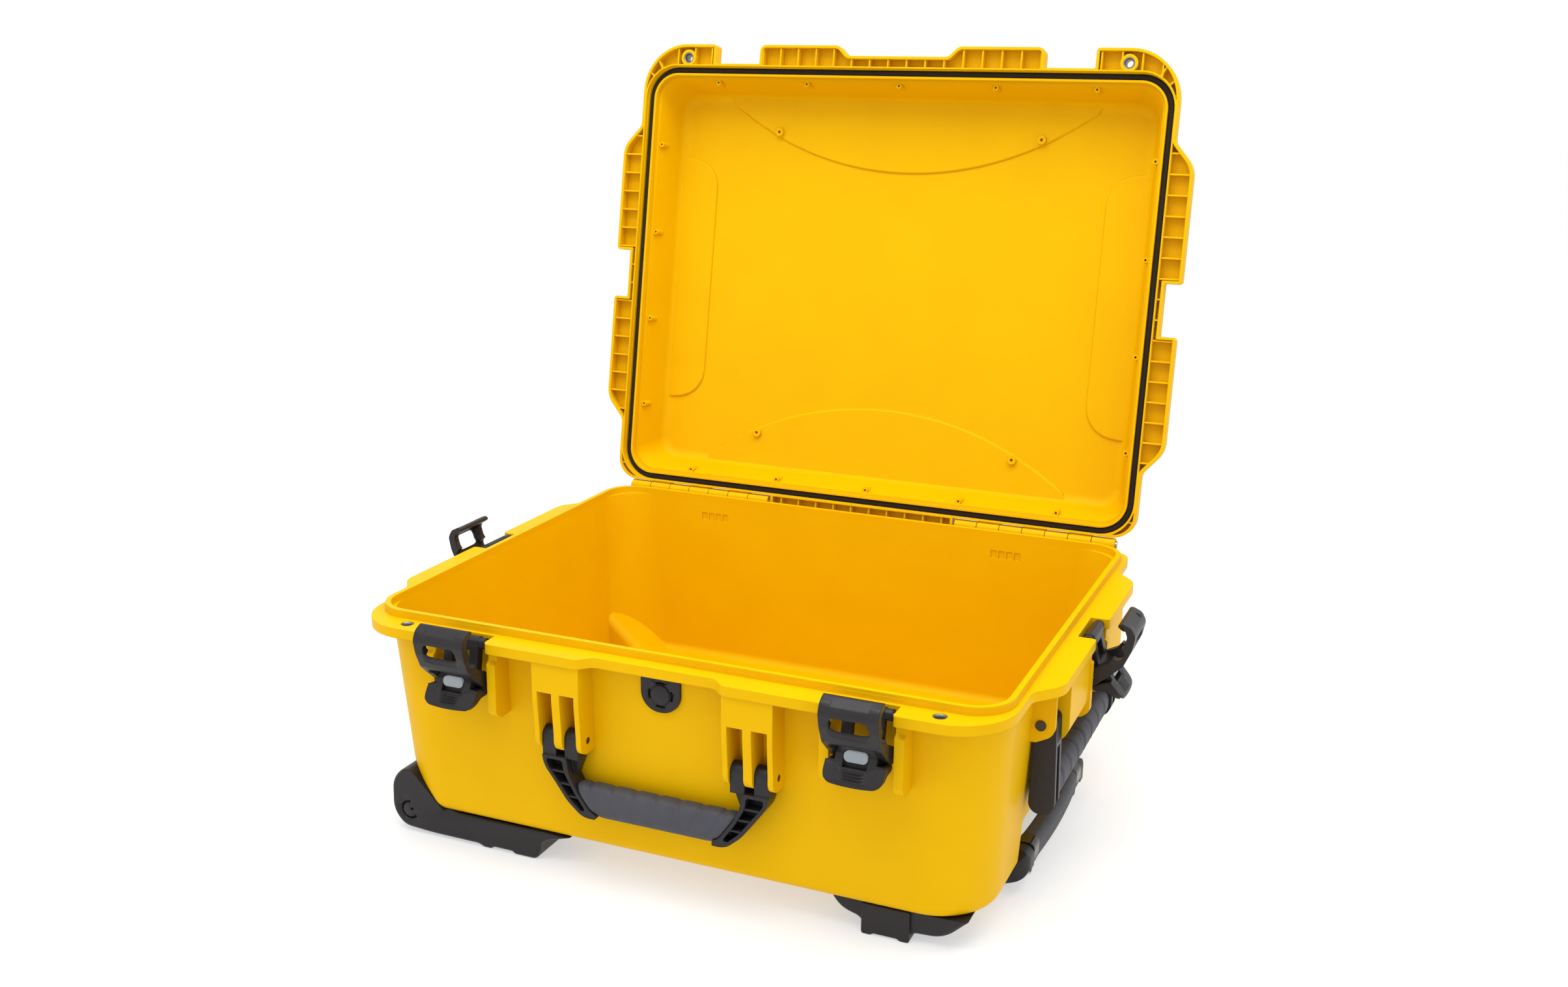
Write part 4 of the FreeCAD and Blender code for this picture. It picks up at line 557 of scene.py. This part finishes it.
def finger_tab(sizes):
    """Shield-shaped plate on the closed lever, drawn from its pivot, as flat oval rings from top to bottom.

    The top edge dips under the lock slider, the bottom edge is an arc with quarter-round corners, and
    the plate leans outwards as it goes down. Ribs are bell-shaped ridges that bow down like the edge.
    """
    slider_half, slider_dip = 12.8, 4.7
    corner_size = 8
    rib_first, rib_pitch, rib_width, rib_half = -46.8, 2.3, 0.55, 9
    down = np.linspace(0, 1, 73)[:, None]
    wide, thick = oval(120, 0.5)
    x = sizes.tab_half * wide
    top = -40.3 - slider_dip * step(np.abs(x) - slider_half, 0.5)
    corner = np.clip((np.abs(x) - sizes.tab_half + corner_size) / corner_size, 0, 1)
    bottom = -58.4 + 2.0 * wide ** 2 + corner_size * (1 - np.sqrt(1 - corner ** 2))
    z = top + (bottom - top) * down
    lean = np.interp(-z, TAB_DEPTHS, TAB_LEANS)
    thin = (1 - np.abs(2 * down - 1) ** 8) ** 0.5
    y = -lean + 0.9 - 1.5 * thick * thin
    bow = z - 0.004 * x ** 2
    places = rib_first - rib_pitch * np.arange(sizes.tab_ribs)[:, None, None]
    ridges = np.exp(-((bow[None] - places) / rib_width) ** 2).sum(axis=0)
    ridges = ridges * step(np.abs(x) - rib_half, 0.4) * np.clip(thick, 0, 1)
    y = y - sizes.rib_rise * ridges
    return np.stack([np.broadcast_to(x, y.shape), y, z], axis=-1)


class CASE_OT_claws(bpy.types.Operator):
    """Make the latch claws with their wide, flared windows"""
    bl_idname = "case.claws"
    bl_label = "Claws"

    def execute(self, context):
        window = claw_window(in_mm(context.scene.case_sizes))
        for side in LATCHES:
            lever = JOINTS["lever_" + side + "_hinge"]
            hinge = JOINTS["claw_" + side + "_hinge"]
            lean = hinge["range_deg"][1] - lever["range_deg"][1]
            grid = placed(window, hinge["pos_m"], lean, lever["axis"])
            claw = "claw_" + side
            mesh = carved(claw, [(surface("window", grid), "DIFFERENCE")])
            even(fit("hook_" + side, mesh, claw, "black", claw))
        return {"FINISHED"}


def claw_window(sizes):
    """Tunnel of oval rings through the claw's plate, drawn from the claw pin, that flares at the outside."""
    flare_size, flare_place = 3.2, -10.2
    through = np.linspace(-22, 1, 24)[:, None]
    wide, rise = oval(64, 0.5)
    flare = flare_size * step(through - flare_place, 0.5)
    x = (sizes.window_half + flare) * wide
    z = sizes.window_middle + (sizes.window_rise + 0.8 * flare) * rise - 0.7 * flare
    return np.stack([x, np.broadcast_to(through, x.shape), z], axis=-1)


# Outlines of wheel housing, right foot and the foot's pad as (x, z, corner reach). Housing and foot
# are open towards the base above and pass their CAD faces by 0.05, so that no faces coincide.
PAST = 0.05
HOUSING = (
    (-60, 65.1, 5), (-276.5, 65.1, 10), (-290.05, 50.1, 9), (-291.05, 18.5, 10), (-279, 4.45, 8),
    (-247, 2.45, 10), (-196, 2.45, 3), (-190.5, -PAST, 2), (-183, -PAST, 1.6), (-180, 2.2, 1.6),
    (-160, 2.2, 1.6), (-157, -PAST, 1.6), (-133, -PAST, 6), (-127.9, 19.4, 9), (-60, 40.5, 5),
)
FOOT = (
    (129.1, 60, 5), (160, 17.4, 9), (179, 11.9, 5), (182, -PAST, 5.5), (222, -PAST, 4.2), (225, 7.9, 4),
    (252, 9.4, 12), (305.2, 60, 5),
)
PAD = (
    (180.6, 28.4, 2), (180.6, 0, 3), (189, 0, 1.3), (191.5, 1.8, 1.3), (212.5, 1.8, 1.3), (215, 0, 1.3),
    (223.4, 0, 3), (223.4, 28.4, 2),
)
PAD_EDGE = 1.2

# Open ring round the axle's end in a housing's outer face
AXLE_PLACE = (-271.0, 22.5)
AXLE_RING = (7.1, 9.6)
AXLE_RING_DEEP = 4.2
AXLE_RING_SPAN = (84, 325)


class CASE_OT_feet(bpy.types.Operator):
    """Make the wheel housings and the feet with rounded edges"""
    bl_idname = "case.feet"
    bl_label = "Feet"

    def execute(self, context):
        sizes = in_mm(context.scene.case_sizes)
        for kind, corners in (("wheel_housing", HOUSING), ("right_foot", FOOT)):
            for end, out in zip(ENDS, (-1, 1)):
                node = kind + "_" + end
                middle, half = node_box(node)
                reach = half[1] + PAST
                grid = rounded_prism(corners, middle[1] - reach, middle[1] + reach, sizes.foot_edge)
                tools = [(surface("envelope", grid), "INTERSECT")]
                if kind == "wheel_housing":
                    face = middle[1] + out * half[1]
                    ring = arc_slot(AXLE_PLACE, face, out, AXLE_RING, AXLE_RING_DEEP, AXLE_RING_SPAN)
                    tools.append((surface("ring", ring), "DIFFERENCE"))
                even(fit("soft_" + node, carved(node, tools), "base", "black", node))
        for end in ENDS:
            name = "foot_pad_" + end
            middle, half = node_box("right_foot_" + end)
            reach = half[1] + sizes.pad_rise
            grid = rounded_prism(PAD, middle[1] - reach, middle[1] + reach, PAD_EDGE)
            even(fit(name, surface(name, grid), "base", "black"))
        return {"FINISHED"}


# Slots round the valve, and half section of the dial as (radius, height from the cover's face)
VALVE_RING = (9.8, 12.0)
VALVE_RING_DEEP = 3.4
VALVE_DIAL = ((0.8, -0.2), (9.1, -0.2), (9.1, -0.5), (8.9, -0.75), (8.5, -0.9), (0.8, -0.9))


class CASE_OT_valve(bpy.types.Operator):
    """Make the valve cover with its four slots, and the dial over the valve"""
    bl_idname = "case.valve"
    bl_label = "Valve"

    def execute(self, context):
        x, _, z = node_box("valve_core")[0]
        middle, half = node_box("valve_cover")
        face = middle[1] - half[1]
        half_span = math.degrees(context.scene.case_sizes.slot_angle) / 2
        tools = []
        for turn in (0, 90, 180, 270):
            span = (turn - half_span, turn + half_span)
            grid = arc_slot((x, z), face, -1, VALVE_RING, VALVE_RING_DEEP, span)
            tools.append((surface("slot", grid), "DIFFERENCE"))
        even(fit("valve_plate", carved("valve_cover", tools), "base", "black", "valve_cover"))
        rings = np.swapaxes(turned(VALVE_DIAL, (x, face, z), 1, 64), 0, 1)
        fit("valve_dial", surface("valve_dial", rings), "base", "black")
        return {"FINISHED"}


class CASE_OT_seal(bpy.types.Operator):
    """Make the gasket of the lid"""
    bl_idname = "case.seal"
    bl_label = "Seal"

    def execute(self, context):
        grid = opened(gasket(in_mm(context.scene.case_sizes)))
        fit("seal_cord", surface("seal_cord", grid, loop=True), "lid", "gasket", "lid_gasket")
        return {"FINISHED"}


def gasket(sizes):
    """Cord of oval section carried round a rectangle with round corners, on the closed lid.

    A point of the line is a corner's centre plus the corner radius along the turning direction.
    """
    cord_half, cord_rise, cord_level = 2.9, 2.45, 227.3
    corner = np.repeat(np.arange(4), 16)
    turn = np.radians(90 * corner + np.tile(np.linspace(0, 90, 16), 4))[:, None]
    sign_x = np.array([1, -1, -1, 1])[corner][:, None]
    sign_y = np.array([1, 1, -1, -1])[corner][:, None]
    side, rise = oval(28, 0.8)
    radius = sizes.seal_corner + cord_half * side
    x = (sizes.seal_length - sizes.seal_corner) * sign_x + radius * np.cos(turn)
    y = (sizes.seal_width - sizes.seal_corner) * sign_y + radius * np.sin(turn)
    z = np.broadcast_to(cord_level + cord_rise * rise, x.shape)
    return np.stack([x, y, z], axis=-1)


# Thickness of the eyelet's rim under the base's flange, and length of an eyelet in the lid
EYELET_RIM = 0.8
LID_EYELET = 14.1


class CASE_OT_eyelets(bpy.types.Operator):
    """Make the rolled steel eyelets of base and lid"""
    bl_idname = "case.eyelets"
    bl_label = "Eyelets"

    def execute(self, context):
        sizes = in_mm(context.scene.case_sizes)
        x, y, z = sizes.eyelet_place
        middle, half = node_box("base_eyelets")
        section = eyelet(sizes.eyelet_bore, middle[2] - half[2] + EYELET_RIM, middle[2] + half[2])
        rings = [turned(section, (side * x, y, 0), 2, 48) for side in (-1, 1)]
        fit_pair("base_eyelet_rings", rings, "base", "base_eyelets")
        flipped = [(r, -h) for r, h in eyelet(sizes.eyelet_bore, -(z + LID_EYELET), -z)]
        rings = [opened(turned(flipped, (side * x, y, 0), 2, 48)) for side in (-1, 1)]
        fit_pair("lid_eyelet_rings", rings, "lid", "lid_eyelets")
        return {"FINISHED"}


def eyelet(bore, low, high):
    """Half section of an eyelet as (radius, height): a funnel at its flush end and a rim at the other."""
    return [
        (bore, low + 1.0), (bore, high - 2.4), (bore + 0.2, high - 1.4), (bore + 0.7, high - 0.5),
        (bore + 1.3, high - 0.1), (bore + 1.9, high - 0.15), (bore + 2.0, high - 0.6), (bore + 2.0, low),
        (bore + 3.0, low), (bore + 3.2, low - 0.3), (bore + 3.0, low - 0.7), (bore + 2.2, low - 0.8),
        (bore + 0.8, low - 0.5), (bore + 0.2, low + 0.2),
    ]


def fit_pair(name, rings, body, node):
    """One steel piece of two like rings."""
    meshes = [surface(name, ring, loop=True) for ring in rings]
    both = bmesh.new()
    for mesh in meshes:
        both.from_mesh(mesh)
    both.to_mesh(meshes[0])
    both.free()
    bpy.data.meshes.remove(meshes[1])
    fit(name, meshes[0], body, "steel", node, "rolled steel")


class CASE_OT_tyres(bpy.types.Operator):
    """Make the grooved tyres"""
    bl_idname = "case.tyres"
    bl_label = "Tyres"

    def execute(self, context):
        for end in ENDS:
            name, node = "tread_" + end, "wheel_tyre_" + end
            middle, half = node_box(node)
            profile = tread(half[0], half[1], context.scene.case_sizes.tread_grooves)
            grid = turned(profile, middle, 1, 128)
            fit(name, surface(name, grid, loop=True), "wheel_" + end, "tyre", node)
        return {"FINISHED"}


def tread(radius, half, grooves):
    """Half section of a tyre whose outside bulges to the radius, drops at the shoulders and dips in grooves.

    The drop is a sixth power of the place across the tyre, and each dip a bell curve.
    """
    shoulder_drop, groove_depth, hub_radius = 3.2, 1.1, 17.1
    along = np.linspace(-1, 1, 61)
    places = np.linspace(-0.5, 0.5, grooves)[None, :]
    dips = np.exp(-((along[:, None] - places) / 0.05) ** 2).sum(axis=1)
    outside = radius - shoulder_drop * np.abs(along) ** 6 - groove_depth * dips
    inside = np.array([(hub_radius, half), (hub_radius, -half)])
    return np.vstack([np.stack([outside, half * along], axis=-1), inside])


# ---------------------------------------------------------------- stage, in metres and watts

FLOOR_REACH = 14.0

# Name, place, aim, size and power of each soft light
LIGHTS = (
    ("key", (-1.5, -1.9, 2.2), (0, 0, 0.25), 1.2, 3),
    ("top", (-0.1, -0.65, 2.4), (0, 0.05, 0.3), 1.6, 34),
    ("fill", (1.0, 0.1, 2.2), (-0.25, 0.0, 0.12), 1.0, 13),
)


class CASE_OT_stage(bpy.types.Operator):
    """Set the floor, the soft lights and the camera"""
    bl_idname = "case.stage"
    bl_label = "Stage"

    def execute(self, context):
        scene = context.scene
        white_floor()
        world = bpy.data.worlds.new("studio")
        world.use_nodes = True
        fill(world.node_tree.nodes["Background"], Color=(1, 1, 1, 1), Strength=1.0)
        scene.world = world
        for row in LIGHTS:
            soft_light(*row)
        view = scene.case_view
        data = bpy.data.cameras.new("camera")
        data.sensor_fit = "HORIZONTAL"
        data.sensor_width = 36.0
        data.lens = view.lens
        camera = bpy.data.objects.new("camera", data)
        camera.matrix_world = Matrix.Translation(view.stand) @ camera_turn(view).to_4x4()
        scene.collection.objects.link(camera)
        scene.camera = camera
        scene.view_settings.view_transform = "Standard"
        return {"FINISHED"}


def white_floor():
    """Wide flat floor that glows a little, so that it fades into the white surroundings."""
    mat, _, shader = new_material("white sweep")
    fill(shader, Base_Color=linear("B4B4B4"), Roughness=0.9, Specular_IOR_Level=0.1,
         Emission_Color=linear("FFFFFF"), Emission_Strength=0.52)
    corners = [(x * FLOOR_REACH, y * FLOOR_REACH, 0) for x, y in ((-1, -1), (1, -1), (1, 1), (-1, 1))]
    mesh = bpy.data.meshes.new("sweep")
    mesh.from_pydata(corners, [], [(0, 1, 2, 3)])
    mesh.materials.append(mat)
    floor = bpy.data.objects.new("sweep", mesh)
    bpy.context.scene.collection.objects.link(floor)
    return floor


def soft_light(name, place, aim, size, power):
    """Square soft light at place, turned to aim."""
    data = bpy.data.lights.new(name, "AREA")
    data.size = size
    data.energy = power
    lamp = bpy.data.objects.new(name, data)
    lamp.location = place
    lamp.rotation_euler = (Vector(aim) - Vector(place)).to_track_quat("-Z", "Y").to_euler()
    bpy.context.scene.collection.objects.link(lamp)


def camera_turn(view):
    """Camera axes from its angles: right, up and back, rolled about the view line."""
    level = math.cos(view.elevation)
    back = Vector((math.sin(view.azimuth), -math.cos(view.azimuth), 0)) * level
    back.z = math.sin(view.elevation)
    right = (-back).cross(Vector((0, 0, 1))).normalized()
    up = back.cross(right)
    across = right * math.cos(view.roll) + up * math.sin(view.roll)
    rise = up * math.cos(view.roll) - right * math.sin(view.roll)
    return Matrix((across, rise, back)).transposed()


# ---------------------------------------------------------------- panel and registration

class CASE_PT_panel(bpy.types.Panel):
    """Lists the sizes, colours and steps of the case"""
    bl_label = "Hard Case"
    bl_idname = "CASE_PT_panel"
    bl_space_type = "VIEW_3D"
    bl_region_type = "UI"
    bl_category = "Case"

    def draw(self, context):
        scene = context.scene
        for group in (scene.case_colours, scene.case_sizes, scene.case_view):
            for name in group.bl_rna.properties.keys():
                if name not in ("rna_type", "name"):
                    self.layout.prop(group, name)
        for kind in OPERATORS:
            self.layout.operator(kind.bl_idname)


GROUPS = (CaseColours, CaseSizes, CaseView)
OPERATORS = (
    CASE_OT_finishes, CASE_OT_grips, CASE_OT_tabs, CASE_OT_claws, CASE_OT_feet, CASE_OT_valve,
    CASE_OT_seal, CASE_OT_eyelets, CASE_OT_tyres, CASE_OT_stage,
)
CLASSES = GROUPS + OPERATORS + (CASE_PT_panel,)


def register():
    for kind in CLASSES:
        bpy.utils.register_class(kind)
    bpy.types.Scene.case_colours = PointerProperty(type=CaseColours)
    bpy.types.Scene.case_sizes = PointerProperty(type=CaseSizes)
    bpy.types.Scene.case_view = PointerProperty(type=CaseView)


def unregister():
    del bpy.types.Scene.case_view
    del bpy.types.Scene.case_sizes
    del bpy.types.Scene.case_colours
    for kind in reversed(CLASSES):
        bpy.utils.unregister_class(kind)


def main():
    register()
    bpy.ops.case.finishes()
    bpy.ops.case.grips()
    bpy.ops.case.tabs()
    bpy.ops.case.claws()
    bpy.ops.case.feet()
    bpy.ops.case.valve()
    bpy.ops.case.seal()
    bpy.ops.case.eyelets()
    bpy.ops.case.tyres()
    bpy.ops.case.stage()


if __name__ == "__main__":
    main()
